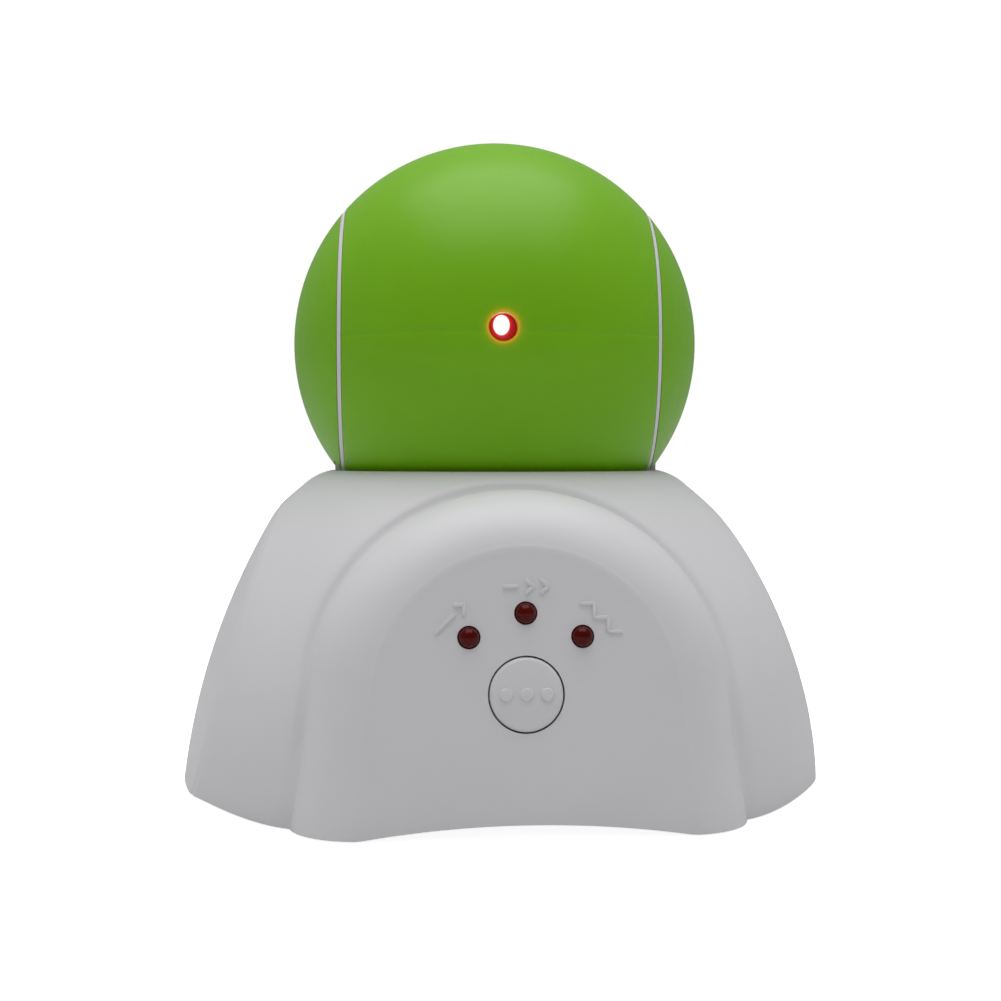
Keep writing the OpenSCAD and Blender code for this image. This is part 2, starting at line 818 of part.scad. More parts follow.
module turntable_gear() {
  holes = 6;
  hole_r = (turntable_gear_r + turntable_hub_r) / 2;
  hole_d = (turntable_gear_r - turntable_hub_r) / 2.2;
  color("#e6dfc8") translate([0, 0, gear_hi]) difference() {
    mesh_tooth(idler_dir) gear(pan_module, turntable_teeth, gear_b);
    translate([0, 0, -eps]) {
      cylinder(r = turntable_hub_r + seat_fit, h = gear_b + over);
      for (i = [0 : holes - 1])
        rotate(360 * i / holes) translate([hole_r, 0, 0]) cylinder(d = hole_d, h = gear_b + over);
    }
  }
}

// Right-hand yoke arm: flange in the seam, boss inside the cap, hollow stub, leg and foot
module yoke_arm() {
  foot_z = disc_z1 - ball_z;
  stub_x = end_x0 - hub_l;
  difference() {
    union() {
      along_x() {
        translate([0, 0, yoke_x]) cylinder(r = flange_r, h = flange_t);
        translate([0, 0, yoke_x]) cylinder(r = boss_r, h = boss_x - yoke_x);
        translate([0, 0, sun_x1]) cylinder(d = stub_d + 2 * stub_step, h = stub_shoulder + eps);
        translate([0, 0, stub_x]) cylinder(d = stub_d, h = yoke_x - stub_x + eps);
      }
      translate([yoke_x, -leg_w / 2, foot_z]) cube([leg_t, leg_w, -foot_z - boss_r / 2]);
      translate([leg_x - yoke_foot_l, -leg_w / 2, foot_z]) cube([yoke_foot_l, leg_w, yoke_foot_t]);
    }
    along_x() cylinder(d = stub_bore_d, h = big);
    translate([0, 0, foot_z - over]) four_corners(yoke_screw_at)
      cylinder(d = small_screw_d + 2 * clear_fit, h = yoke_foot_t + 2 * over);
  }
}
module right_yoke_arm() color(white) at_ball() yoke_arm();
module left_yoke_arm() color(white) at_ball() mirror([1, 0, 0]) yoke_arm();

module yoke_screws() {
  color("silver") in_head() translate([0, 0, disc_z1 + yoke_foot_t]) four_corners(yoke_screw_at)
    screw(small_screw_d, yoke_foot_t + disc_t - end_gap, small_head_d, small_head_h);
}

// Right-hand cap of the ball, with a pocket for the yoke boss and a notch for the leg
module cap() {
  notch = [leg_x + case_gap, leg_w + 2 * case_gap, ball_r - boss_r / 2];
  difference() {
    along_x() rotate_extrude() difference() {
      intersection() {
        circle(r = ball_r);
        translate([0, cap_x]) square(ball_r);
      }
      intersection() {
        circle(r = ball_in_r);
        square([boss_r + case_gap, ball_r]);
      }
    }
    translate([0, -notch[1] / 2, -ball_r]) cube(notch);
  }
}
module right_cap() color(green) at_ball() cap();
module left_cap() color(green) at_ball() mirror([1, 0, 0]) cap();

module sun_gear() {
  color("#e6dfc8") at_ball() translate([-sun_x1, 0, 0]) along_x() bored(stub_d + 2 * seat_fit, tilt_b)
    mesh_tooth(90) gear(tilt_module, sun_teeth, tilt_b);
}

// Half of the middle band, with a screw boss on a rib at each end
module band_half() {
  boss_d = small_screw_d + 2.6;
  rib_t = 2;
  difference() {
    union() {
      intersection() {
        along_x() rotate_extrude() intersection() {
          difference() {
            circle(r = ball_r);
            circle(r = ball_in_r);
          }
          translate([0, -band_x]) square([ball_r, band_w]);
        }
        translate([-big / 2, -big / 2, parting_gap / 2]) cube(big);
      }
      for (s = [0, 1])
        mirror([s, 0, 0]) intersection() {
          sphere(r = ball_r - ball_wall / 2);
          translate([end_x0 - drum_boss_l, 0, drum_screw_r]) {
            along_x() cylinder(d = boss_d, h = drum_boss_l);
            translate([0, -rib_t / 2, 0]) cube([drum_boss_l, rib_t, ball_r]);
          }
        }
    }
    rotate([90, 0, 0]) cylinder(d = window_d, h = ball_r);
    for (s = [0, 1])
      mirror([s, 0, 0]) translate([end_x0 - drum_boss_l, 0, drum_screw_r]) along_x()
        cylinder(d = small_screw_d + 2 * seat_fit, h = drum_boss_l + over);
  }
}
module drum_upper_shell() color(green) at_ball() band_half();
module drum_lower_shell() color(green) at_ball() mirror([0, 0, 1]) band_half();

// End plate of the drum on the right, seated in the shells, with a long hub on the stub
module drum_end(hub_x) {
  difference() {
    union() {
      along_x() rotate_extrude() intersection() {
        circle(r = ball_in_r - seat_fit);
        translate([0, end_x0]) square([ball_r, end_t]);
      }
      along_x() translate([0, 0, end_x0 - hub_l]) cylinder(r = hub_r, h = hub_x - end_x0 + hub_l);
    }
    along_x() cylinder(d = stub_d + 2 * run_fit, h = ball_r);
    for (s = [-1, 1])
      translate([0, 0, s * drum_screw_r]) along_x() cylinder(d = small_screw_d + 2 * clear_fit, h = ball_r);
  }
}
module drum_right_end() color("#cfcfd2") at_ball() drum_end(sun_x1 - end_gap);
module drum_left_end() {
  color("#cfcfd2") at_ball() difference() {
    mirror([1, 0, 0]) drum_end(end_x1);
    translate([-ball_r, tilt_reach, 0]) along_x() cylinder(d = tilt_shaft_d + 1, h = ball_r);
  }
}

module drum_screws() {
  color("silver") at_ball() for (sx = [0, 1])
    for (sz = [-1, 1])
      mirror([sx, 0, 0]) translate([end_x1, 0, sz * drum_screw_r]) along_x()
        screw(small_screw_d, end_t + drum_boss_l - 2, small_head_d, small_head_h);
}

// Laser parts along the line of sight, the front end towards -Y
module on_sight(reach) at_ball() rotate([90, 0, 0]) translate([0, 0, reach]) children();
module laser_barrel() {
  pocket = 6;
  color("goldenrod") on_sight(barrel_y - barrel_l) difference() {
    cylinder(d = barrel_d, h = barrel_l);
    translate([0, 0, barrel_l - lens_rim - lens_t]) cylinder(d = lens_d + 2 * seat_fit, h = barrel_l);
    translate([0, 0, -eps]) {
      cylinder(d = lens_d - 1.2, h = barrel_l);
      cylinder(d = barrel_d - 1.4, h = pocket);
    }
  }
}

module laser_lens() {
  bulge_r = 5;
  color("#ff5040") on_sight(barrel_y - lens_rim - lens_t) rotate_extrude() intersection() {
    square([lens_d / 2, lens_t]);
    translate([0, lens_t - bulge_r]) circle(r = bulge_r);
  }
}

module laser_diode() {
  color("silver") on_sight(barrel_y - barrel_l) cylinder(d = barrel_d - 1.4 - 2 * seat_fit, h = 5);
}

module laser_board() {
  board = [barrel_d - 0.6, 1, 8];
  color("#2f6b3c") on_sight(barrel_y - barrel_l - board[2])
    translate([-board[0] / 2, -board[1] / 2, 0]) cube(board);
}

module laser_bracket() {
  cheek = 1.6;
  bar_t = 2.4;
  block = barrel_d + 2 * cheek;
  color("#3a3a3c") on_sight(barrel_y - barrel_l) difference() {
    union() {
      translate([-end_x0, -block / 2 - bar_t + cheek / 2, 0]) cube([2 * end_x0, bar_t, bracket_l]);
      translate([-block / 2, -block / 2, 0]) cube([block, block, bracket_l]);
    }
    translate([0, 0, -eps]) cylinder(d = barrel_d + 2 * seat_fit, h = bracket_l + 1);
  }
}

// Tilt gear motor, its shaft along X behind the tilt axis
module on_tilt_motor(x) at_ball() translate([x, tilt_reach, 0]) along_x() children();
module tilt_gearbox() {
  seat = 3.4;
  color("goldenrod") on_tilt_motor(-end_x0) difference() {
    translate([-gearbox_w / 2, -gearbox_h / 2, 0]) cube([gearbox_w, gearbox_h, gearbox_l]);
    translate([0, 0, -eps]) cylinder(d = tilt_shaft_d + 2 * run_fit, h = seat);
  }
}

module tilt_motor() {
  color("silver") on_tilt_motor(gearbox_l - end_x0) intersection() {
    cylinder(d = gearbox_w, h = tilt_can_l);
    translate([-gearbox_w / 2, -gearbox_h / 2, 0]) cube([gearbox_w, gearbox_h, tilt_can_l]);
  }
}

module tilt_motor_bell() {
  color("#2b2b2e") on_tilt_motor(gearbox_l + tilt_can_l - end_x0) cylinder(d = gearbox_h - 1, h = bell_t);
}

module tilt_shaft() {
  seat = 3;
  color("silver") on_tilt_motor(-sun_x1) cylinder(d = tilt_shaft_d, h = sun_x1 - end_x0 + seat);
}

module tilt_pinion() {
  color("#e6dfc8") on_tilt_motor(-sun_x1) bored(tilt_shaft_d + 2 * seat_fit, tilt_b)
    mesh_gap(270, tilt_teeth) gear(tilt_module, tilt_teeth, tilt_b);
}

module cell_1() cell(0);
module cell_2() cell(1);
module cell_3() cell(2);

base_shell();
bottom_plate();
battery_door();
case_screws();
rubber_feet();
cell_1();
cell_2();
cell_3();
contact_plates();
contact_springs();
main_board();
controller_chip();
board_screws();
switch_case();
switch_plunger();
mode_button();
lamp_left();
lamp_middle();
lamp_right();
pan_motor();
pan_motor_bell();
pan_motor_shaft();
pan_motor_pinion();
idler_pin();
idler_clip();
idler_gear();
thrust_washer();
post_nut();
turntable();
turntable_gear();
left_yoke_arm();
right_yoke_arm();
yoke_screws();
left_cap();
right_cap();
sun_gear();
drum_upper_shell();
drum_lower_shell();
drum_left_end();
drum_right_end();
drum_screws();
laser_barrel();
laser_lens();
laser_diode();
laser_board();
laser_bracket();
tilt_gearbox();
tilt_motor();
tilt_motor_bell();
tilt_shaft();
tilt_pinion();
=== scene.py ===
"""Laser teaser ball: builds its moulded shells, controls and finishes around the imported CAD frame."""

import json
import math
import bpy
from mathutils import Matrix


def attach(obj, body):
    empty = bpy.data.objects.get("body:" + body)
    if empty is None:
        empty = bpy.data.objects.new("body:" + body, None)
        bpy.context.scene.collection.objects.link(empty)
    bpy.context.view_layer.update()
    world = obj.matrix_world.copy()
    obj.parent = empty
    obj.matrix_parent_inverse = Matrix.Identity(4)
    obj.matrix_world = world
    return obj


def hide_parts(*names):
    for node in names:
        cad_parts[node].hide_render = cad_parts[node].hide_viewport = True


bl_info = {
    "name": "Laser Teaser Ball",
    "version": (1, 0, 0),
    "blender": (4, 5, 0),
    "location": "View3D > Sidebar > Teaser",
    "description": "Builds the shells, controls, finishes and stage of a panning laser ball",
    "category": "Object",
}

import bpy
import numpy as np
from bpy.props import FloatProperty, FloatVectorProperty, PointerProperty
from mathutils import Matrix, Vector

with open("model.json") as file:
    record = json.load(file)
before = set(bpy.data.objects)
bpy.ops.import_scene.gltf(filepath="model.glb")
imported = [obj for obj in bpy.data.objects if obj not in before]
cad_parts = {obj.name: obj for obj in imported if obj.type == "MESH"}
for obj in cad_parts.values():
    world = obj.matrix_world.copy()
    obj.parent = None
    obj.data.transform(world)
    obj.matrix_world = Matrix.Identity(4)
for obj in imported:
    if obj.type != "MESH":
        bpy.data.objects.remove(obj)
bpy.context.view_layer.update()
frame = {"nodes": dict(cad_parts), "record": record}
MM = 0.001
MERGE = 1e-6  # points closer than this are one point
QUARTER = math.pi / 2

# Frames shared with the CAD model: the control panel and the ball. The laser looks a little higher here.
FACE_TILT = math.radians(5)
HEAD_PAN = math.radians(-3)
SIGHT_RISE = math.radians(1.1)
PANEL = Matrix.Translation((0, -45 * MM, 0)) @ Matrix.Rotation(QUARTER - FACE_TILT, 4, "X")
BALL = Matrix.Translation((0, 0, 64.5 * MM)) @ Matrix.Rotation(HEAD_PAN, 4, "Z")
SIGHT_TURN = Matrix.Rotation(QUARTER - SIGHT_RISE, 4, "X")
SIGHT = BALL @ SIGHT_TURN

# Faces of a quarter of the base's skin: round the panel's arch, along the rim, over its flat and its roll.
ARCH_STEPS, RIM_STEPS, FLAT_RINGS, ROLL_RINGS = 72, 72, 12, 28
ARCH_SHARE = ARCH_STEPS / (ARCH_STEPS + RIM_STEPS)
FLAT_SHARE = FLAT_RINGS / (FLAT_RINGS + ROLL_RINGS)
# Rows as shares of the way up to the mouth, closest in the groove, at the side seam and on the top edge.
ROWS = np.concatenate(
    [
        np.linspace(0, 0.17, 14, endpoint=False),
        np.linspace(0.17, 0.76, 16, endpoint=False),
        np.linspace(0.76, 0.92, 17, endpoint=False),
        np.linspace(0.92, 1, 14),
    ]
)
# Steps along the rim, closest where a side face's seam meets it.
RIM_SHARES, SEAM_FROM, SEAM_TO = (0, 0.2, 0.75, 1), math.radians(57), math.radians(74)
# Where the columns from the groove end round the mouth, by their share from the crown to a toe.
FAN_SHARES, FAN_TURNS = (0, 0.33, 0.5, 0.654, 1), np.radians([0, 26, 37, 45, 58])
# Columns leave the groove square to it, but never flatter than this, for this reach or share of the way.
LEAVE_LOW, LEAVE_REACH, LEAVE_SHARE = math.radians(15), math.radians(8), 0.4
# Beyond a toe they stand up straight within this share of the rim.
RISE_SHARE = 0.3
# The roll round a panel leaves its flat with this lean, and a panel's sides splay towards its toes.
ROLL_LEAN, SPLAY = math.radians(10), math.radians(7.5)
# A fine bead stands on the flat's edge, and the flat's rings close up towards it.
CREASE, FLAT_EASE = 0.06 * MM, 1.6
# The skirt's rim falls between these distances from the side faces' middles.
RIM_FALL = (22 * MM, 37.5 * MM)
# The groove round a panel grows shallower below this height, down to this share.
GROOVE_FADE, GROOVE_LEAST = 12 * MM, 0.3
# The search along a ray for the skin: its start, end and halvings, and the rounds in which a rim settles.
RAY_FROM, RAY_TO, HALVINGS = 15 * MM, 75 * MM, 40
RIM_TRIES = 12

# Room for a yoke's leg in a cap, and its depth under the ball's centre as a share of the ball's radius.
LEG_NOTCH, NOTCH_DROP = (2.14 * MM, 11.34 * MM, 30 * MM), 0.7
# Steps round the band, the caps and seam rings, the button, the holes and laser lens, a lamp and a dot.
BAND_STEPS, CAP_STEPS, BUTTON_STEPS, HOLE_STEPS, LAMP_STEPS, DOT_STEPS = 192, 160, 128, 96, 64, 40
# Steps along the outer and inner face of the band and of a cap, and over a lamp's dome.
BAND_OUTER, BAND_INNER, CAP_OUTER, CAP_INNER, DOME_ARC = 72, 60, 56, 40, 20
# Outlines in mm, as radius and height: a seam ring, and a button's stem with its flange's reach and faces.
SEAM_RING = [(18.2, 22.11), (20.2, 22.11), (19.53, 22.69), (18.2, 22.69)]
BUTTON_STEM, FLANGE_OUT, FLANGE_LOW, FLANGE_TOP = [(0, -4.75), (1.7, -4.75)], 1.2, -3.1, -2.1
# The button's rounded edge in mm: radius, its centre's height, end in degrees and steps, and the top.
CROWN_R, CROWN_Z, CROWN_END, CROWN_ARC, CROWN_TOP = 0.55, -0.25, 80, 8, 0.36
# A lamp in mm: its foot, its flange's top and reach, its dome's top, and the size and middle of its legs.
LAMP_FOOT, LAMP_FLANGE, LAMP_OUT, LAMP_TOP = -4.3, -3.3, 0.3, 1
LAMP_LEG, LEG_MIDDLE = (0.5 * MM, 0.5 * MM, 5.4 * MM), -6.7 * MM
# Turns of the lamps about the button, and places across of the dots on it.
LAMP_TURNS = [math.radians(a) for a in (135, 90, 45)]
DOT_PLACES = (-2.6 * MM, 0, 2.6 * MM)
# Depth of a drill through the panel, and rounding of small edges on rings, legs and the button.
DRILL_DEEP, FINE_EDGE, BUTTON_EDGE = 12 * MM, 0.06 * MM, 0.08 * MM

# The laser: the lens in mm along the line of sight, from back to brim, the swell in front of it, its hot
# heart with that heart's reach, and how far the red glow painted on the green spills round the window.
LENS_BACK = [(0, 25.7), (2, 25.7), (2, 27.05), (2.7, 27.05), (2.7, 27.15)]
LENS_SWELL = ((0, 20.8), 7, 68, 90, 16)
HEART, HEART_REACH, HEART_SQUEEZE = (-0.18 * MM, 0.42 * MM, 27.8 * MM), 2.1 * MM, (1.0, 1.0, 0.8)
SPILL_REACH = 1.5 * MM
# Colours of the lens from its heart outwards, and of the red glow painted on the green from the window
# outwards.
LENS_STOPS = ((0, "#fffaf8"), (0.47, "#fff2ee"), (0.55, "#d8202a"), (0.72, "#a3101c"), (1, "#8a0d16"))
SPILL_STOPS = (
    (0, "#8c0c1c"),
    (0.05, "#9a1418"),
    (0.12, "#b04a18"),
    (0.22, "#7a2408"),
    (0.5, "#381004"),
    (1, "#000000"),
)
# Sizes of patterns in mm: clouds where plastic flowed, streaks on metal and their length, clouds in a lamp.
FLOW_MM, STREAK_MM, STREAK_RUN, RESIN_MM = 14, 0.25, 14, 1.6

# The studio: brightness of the room before and behind the object, and how much of it gloss picks up.
ROOM_FRONT, ROOM_BACK, ROOM_GLOSS = 0.3, 0.88, 0.35
# The floor: radius and steps, its tone to other surfaces and to the eye, and where it glows how much.
FLOOR_R, FLOOR_STEPS, PAPER_BOUNCE, PAPER_SEEN = 2.5, 128, 0.62, 0.92
FLOOR_NEAR, FLOOR_FAR = (0.1, 0.92), (0.4, 1.0)
# The softbox: place, the point it faces, width and power.
SOFTBOX_AT, SOFTBOX_TO, SOFTBOX_W, SOFTBOX_POWER = Vector((0, -0.05, 0.6)), Vector((0, 0, 0.05)), 0.6, 2.5
# The camera: turn about the object, distance, height, lens and shift.
CAMERA_TURN, CAMERA_REACH, CAMERA_Z = math.radians(-5.3), 0.2515, 0.04799
LENS_MM, SENSOR_MM, SHIFT, CLIP = 59.95, 36, (0.006, -0.0455), 0.01
WHITE = (1, 1, 1, 1)


def srgb(code):
    """Linear colour of an sRGB hex value."""
    parts = [int(code[i : i + 2], 16) / 255 for i in (1, 3, 5)]
    return [c / 12.92 if c <= 0.04045 else ((c + 0.055) / 1.055) ** 2.4 for c in parts] + [1.0]


def length(label, note, mm):
    """Size property in metres, given in millimetres."""
    return FloatProperty(name=label, description=note, default=mm * MM, min=0, precision=5, unit="LENGTH")


def colour(label, note, code):
    """Colour property from an sRGB hex value."""
    return FloatVectorProperty(
        name=label, description=note, default=srgb(code), size=4, min=0, max=1, subtype="COLOR"
    )


class TeaserSizes(bpy.types.PropertyGroup):
    """Sizes of the modelled shells and controls."""

    dome_r: length("Dome arc", "Radius of the dome's profile arc", 50.5)
    dome_past: length("Dome arc offset", "How far the arc's centre lies past the axis", 2.7)
    dome_z: length("Dome arc height", "Height of the arc's centre", 4)
    base_h: length("Base height", "Top of the base above the floor", 46)
    mouth_r: length("Mouth", "Radius of the opening under the ball", 24.78)
    top_round: length("Top edge", "Softness of the base's top edge", 1.8)
    side_r: length("Side arc", "Radius of a side face's profile arc", 95)
    left_past: length("Left arc offset", "How far the left face's arc centre lies past the axis", 48.54)
    right_past: length("Right arc offset", "How far the right face's arc centre lies past the axis", 48.66)
    side_drop: length("Side arc depth", "How far the arc's centre lies below the floor", 9.5)
    left_crown: length("Left crown", "Twice the radius of the left face across", 165)
    right_crown: length("Right crown", "Twice the radius of the right face across", 400)
    side_edge: length("Side edge", "Softness of a side face's edge", 0.3)
    seam_dip: length("Side seam", "Depth of the fine seam round a side face", 0.16)
    seam_w: length("Side seam width", "Reach of the seam between the dome and the side face", 0.09)
    rim_z: length("Rim", "Height of the skirt's rim at the sides", 1.5)
    toe_z: length("Toes", "Height of a panel's toes", 0.42)
    toe_x: length("Toe spread", "Half width of the arch between the toes", 23.5)
    toe_rise: length("Toe arch", "Rise of the arch between the toes", 2)
    face_d: length("Face", "Distance of the face from the axis at the floor", 44.98)
    panel_r: length("Panel", "Half width of the arched panel", 27.4)
    flat_r: length("Field", "Radius of the flat field in the panel", 19.5)
    panel_v: length("Arch centre", "Height of the arch's centre up the face", 17)
    groove_dip: length("Groove", "Depth of the groove round the panel", 0.8)
    groove_w: length("Groove width", "Reach of the groove into the dome", 1.2)
    wall: length("Wall", "Wall of the moulded shells", 2)
    ball_r: length("Ball", "Radius of the ball", 29.99)
    band_x: length("Band", "Half width of the tilting band", 22.05)
    cap_x: length("Cap", "Distance of a cap's edge from the ball's centre", 22.75)
    parting: length("Parting", "Gap between the halves of the band", 0.16)
    window_r: length("Window", "Radius of the laser window", 1.95)
    edge: length("Edge", "Softness of the shells' edges", 0.14)
    button_r: length("Button", "Radius of the mode button", 4.65)
    button_gap: length("Button gap", "Gap round the mode button", 0.2)
    button_v: length("Button height", "Height of the button up the face", 18.1)
    lamp_r: length("Lamp", "Radius of an indicator lamp", 1.37)
    lamp_gap: length("Lamp gap", "Gap round an indicator lamp", 0.1)
    lamp_ring: length("Lamp ring", "Radius of the lamps' arc about the button", 10.15)
    mark_ring: length("Mark ring", "Radius of the marks' arc about the button", 13.5)
    mark_w: length("Mark width", "Width of a mark's bars", 0.5)
    mark_h: length("Mark height", "Rise of the marks", 0.26)


class TeaserColours(bpy.types.PropertyGroup):
    """Colours of the finishes."""

    white: colour("White ABS", "Base, button and yoke", "#d9d8db")
    green: colour("Green ABS", "Ball shells", "#74b500")
    lamp: colour("Lamp", "Indicator lamps", "#520505")


def sizes():
    return bpy.context.scene.teaser_sizes


def colours():
    return bpy.context.scene.teaser_colours


# Small modelling tools: each leaves one object active, in object mode.


def take(obj):
    """Makes obj the one selected, active object."""
    if bpy.context.object and bpy.context.object.mode != "OBJECT":
        bpy.ops.object.mode_set(mode="OBJECT")
    bpy.ops.object.select_all(action="DESELECT")
    obj.select_set(True)
    bpy.context.view_layer.objects.active = obj
    return obj


def edit(obj):
    """Opens obj in edit mode with everything selected."""
    take(obj)
    bpy.ops.object.mode_set(mode="EDIT")
    bpy.ops.mesh.select_mode(type="VERT")
    bpy.ops.mesh.select_all(action="SELECT")


def leave():
    bpy.ops.object.mode_set(mode="OBJECT")


def added(name):
    """Names the primitive that was just added."""
    obj = bpy.context.object
    obj.name = obj.data.name = name
    return take(obj)


def primitive(name, add, **settings):
    """Adds a primitive at the origin under a name of its own."""
    bpy.ops.object.select_all(action="DESELECT")
    add(location=(0, 0, 0), **settings)
    return added(name)


def settle(obj, matrix):
    """Moves a piece to its place in the frame, and puts that place in its mesh."""
    take(obj).matrix_world = matrix
    bpy.ops.object.transform_apply(location=True, rotation=True, scale=True)
    return obj


def finish_with(obj, kind, **settings):
    """Adds one modifier and applies it."""
    take(obj)
    step = obj.modifiers.new(kind.title(), kind)
    for key, value in settings.items():
        setattr(step, key, value)
    bpy.ops.object.modifier_apply(modifier=step.name)
    return obj


def cut_away(obj, *cutters):
    """Cuts other solids out of obj and removes them."""
    for cutter in cutters:
        finish_with(obj, "BOOLEAN", operation="DIFFERENCE", solver="EXACT", object=cutter)
        bpy.data.objects.remove(cutter)
    return obj


def soften(obj, width, angle=40):
    """Rounds the sharp edges of obj."""
    return finish_with(
        obj,
        "BEVEL",
        width=width,
        segments=2,
        limit_method="ANGLE",
        angle_limit=math.radians(angle),
        use_clamp_overlap=True,
    )


def smooth(obj):
    """Shades obj smooth, but for its sharp edges."""
    take(obj)
    bpy.ops.object.shade_smooth_by_angle(angle=math.radians(30))
    return obj


def outlined(name, points, closed=False):
    """Pulls a circle's points to an outline of (radius, height) points in mm, standing on the XZ plane."""
    wire = primitive(name, bpy.ops.mesh.primitive_circle_add, vertices=len(points), radius=MM)
    wire.data.vertices.foreach_set("co", [c for r, z in points for c in (r * MM, 0, z * MM)])
    if not closed:
        edit(wire)
        bpy.ops.mesh.select_all(action="DESELECT")
        leave()
        wire.data.vertices[0].select = wire.data.vertices[-1].select = True
        wire.data.edges[-1].select = set(wire.data.edges[-1].vertices) == {0, len(points) - 1}
        bpy.ops.object.mode_set(mode="EDIT")
        bpy.ops.mesh.delete(type="EDGE")
        leave()
    return wire


def turned(name, outline, steps, closed=False):
    """Spins an outline into a closed body along Z: a ring where it is closed, or else from axis to axis."""
    obj = outlined(name, outline, closed)
    edit(obj)
    bpy.ops.mesh.spin(steps=steps, angle=2 * math.pi, center=(0, 0, 0), axis=(0, 0, 1))
    bpy.ops.mesh.select_all(action="SELECT")
    bpy.ops.mesh.remove_doubles(threshold=MERGE)
    bpy.ops.mesh.normals_make_consistent(inside=False)
    leave()
    return obj


def arc(centre, r, first, last, steps):
    """Points of an arc in an outline, with angles in degrees."""
    angles = np.radians(np.linspace(first, last, steps + 1))
    return [(centre[0] + r * math.cos(a), centre[1] + r * math.sin(a)) for a in angles]


def joined(name, parts):
    """Joins like parts into one piece."""
    take(parts[0])
    for part in parts[1:]:
        part.select_set(True)
    bpy.ops.object.join()
    return added(name)


def dress(obj, finish, body, slot, *nodes):
    """Gives a finished piece its material and its body, and hides the CAD nodes that it stands for. Its slot
    is not used.
    """
    obj.data.materials.clear()
    obj.data.materials.append(finish)
    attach(obj, body)
    if nodes:
        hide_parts(*nodes)
    return obj


# Finishes. Object coordinates are in metres, so a pattern of a given size has a scale of 1 / size.


def add_node(tree, kind, inputs=(), stops=(), **settings):
    """Adds a node with its settings and colour stops, and sets or links its inputs."""
    made = tree.nodes.new(kind)
    for key, value in settings.items():
        setattr(made, key, value)
    if stops:
        for stop, (at, tone) in zip(made.color_ramp.elements, (stops[0], stops[-1])):
            stop.position, stop.color = at, tone
    for at, tone in stops[1:-1]:
        made.color_ramp.elements.new(at).color = tone
    for socket, value in dict(inputs).items():
        if isinstance(value, bpy.types.NodeSocket):
            tree.links.new(value, made.inputs[socket])
        else:
            made.inputs[socket].default_value = value
    return made


def blank(name):
    """New material with a principled shader: its tree, shader and object coordinates."""
    material = bpy.data.materials.new(name)
    material.use_nodes = True
    tree = material.node_tree
    tree.nodes.clear()
    shader = add_node(tree, "ShaderNodeBsdfPrincipled")
    add_node(tree, "ShaderNodeOutputMaterial", {"Surface": shader.outputs["BSDF"]})
    place = add_node(tree, "ShaderNodeTexCoord").outputs["Object"]
    return material, tree, shader, place


def set_all(shader, **values):
    """Sets shader sockets, with underscores for the spaces in their names."""
    for key, value in values.items():
        shader.inputs[key.replace("_", " ")].default_value = value


def tint(base, factor):
    """A lighter or darker tone of a colour."""
    return [min(1.0, c * factor) for c in base[:3]] + [1.0]


def moulded(name, base, roughness, grain_mm, grain=0.1, flow=0.03, ior=1.53, shine=0.5):
    """Injection-moulded plastic: a spark-eroded grain, faint flow clouds in the colour, and uneven sheen."""
    material, tree, shader, place = blank(name)
    set_all(shader, IOR=ior, Specular_IOR_Level=shine)
    clouds = add_node(
        tree, "ShaderNodeTexNoise", {"Vector": place, "Scale": 1 / (FLOW_MM * MM), "Detail": 3.0}
    ).outputs["Fac"]
    tones = ((0.3, tint(base, 1 - flow)), (0.7, tint(base, 1 + flow)))
    tone = add_node(tree, "ShaderNodeValToRGB", {"Fac": clouds}, stops=tones)
    pits = add_node(
        tree, "ShaderNodeTexNoise", {"Vector": place, "Scale": 1 / (grain_mm * MM), "Detail": 2.0}
    ).outputs["Fac"]
    sheen = add_node(
        tree,
        "ShaderNodeMapRange",
        {
            "Value": pits,
            "From Min": 0.3,
            "From Max": 0.7,
            "To Min": roughness - 0.05,
            "To Max": roughness + 0.06,
        },
    )
    bump = add_node(tree, "ShaderNodeBump", {"Strength": grain, "Distance": 0.05 * MM, "Height": pits})
    tree.links.new(tone.outputs["Color"], shader.inputs["Base Color"])
    tree.links.new(sheen.outputs["Result"], shader.inputs["Roughness"])
    tree.links.new(bump.outputs["Normal"], shader.inputs["Normal"])
    return material


def brushed(name, base, roughness):
    """Drawn or turned metal: fine lines along one way and a slight change of tone between them."""
    material, tree, shader, place = blank(name)
    set_all(shader, Metallic=1.0)
    lines = add_node(tree, "ShaderNodeMapping", {"Vector": place, "Scale": (1, 1, 1 / STREAK_RUN)})
    streaks = add_node(
        tree,
        "ShaderNodeTexNoise",
        {"Vector": lines.outputs["Vector"], "Scale": 1 / (STREAK_MM * MM), "Detail": 4.0},
    ).outputs["Fac"]
    tones = ((0, tint(base, 0.82)), (1, tint(base, 1.1)))
    tone = add_node(tree, "ShaderNodeValToRGB", {"Fac": streaks}, stops=tones)
    wear = add_node(
        tree, "ShaderNodeMapRange", {"Value": streaks, "To Min": roughness - 0.08, "To Max": roughness + 0.1}
    )
    bump = add_node(tree, "ShaderNodeBump", {"Strength": 0.15, "Distance": 0.02 * MM, "Height": streaks})
    tree.links.new(tone.outputs["Color"], shader.inputs["Base Color"])
    tree.links.new(wear.outputs["Result"], shader.inputs["Roughness"])
    tree.links.new(bump.outputs["Normal"], shader.inputs["Normal"])
    return material


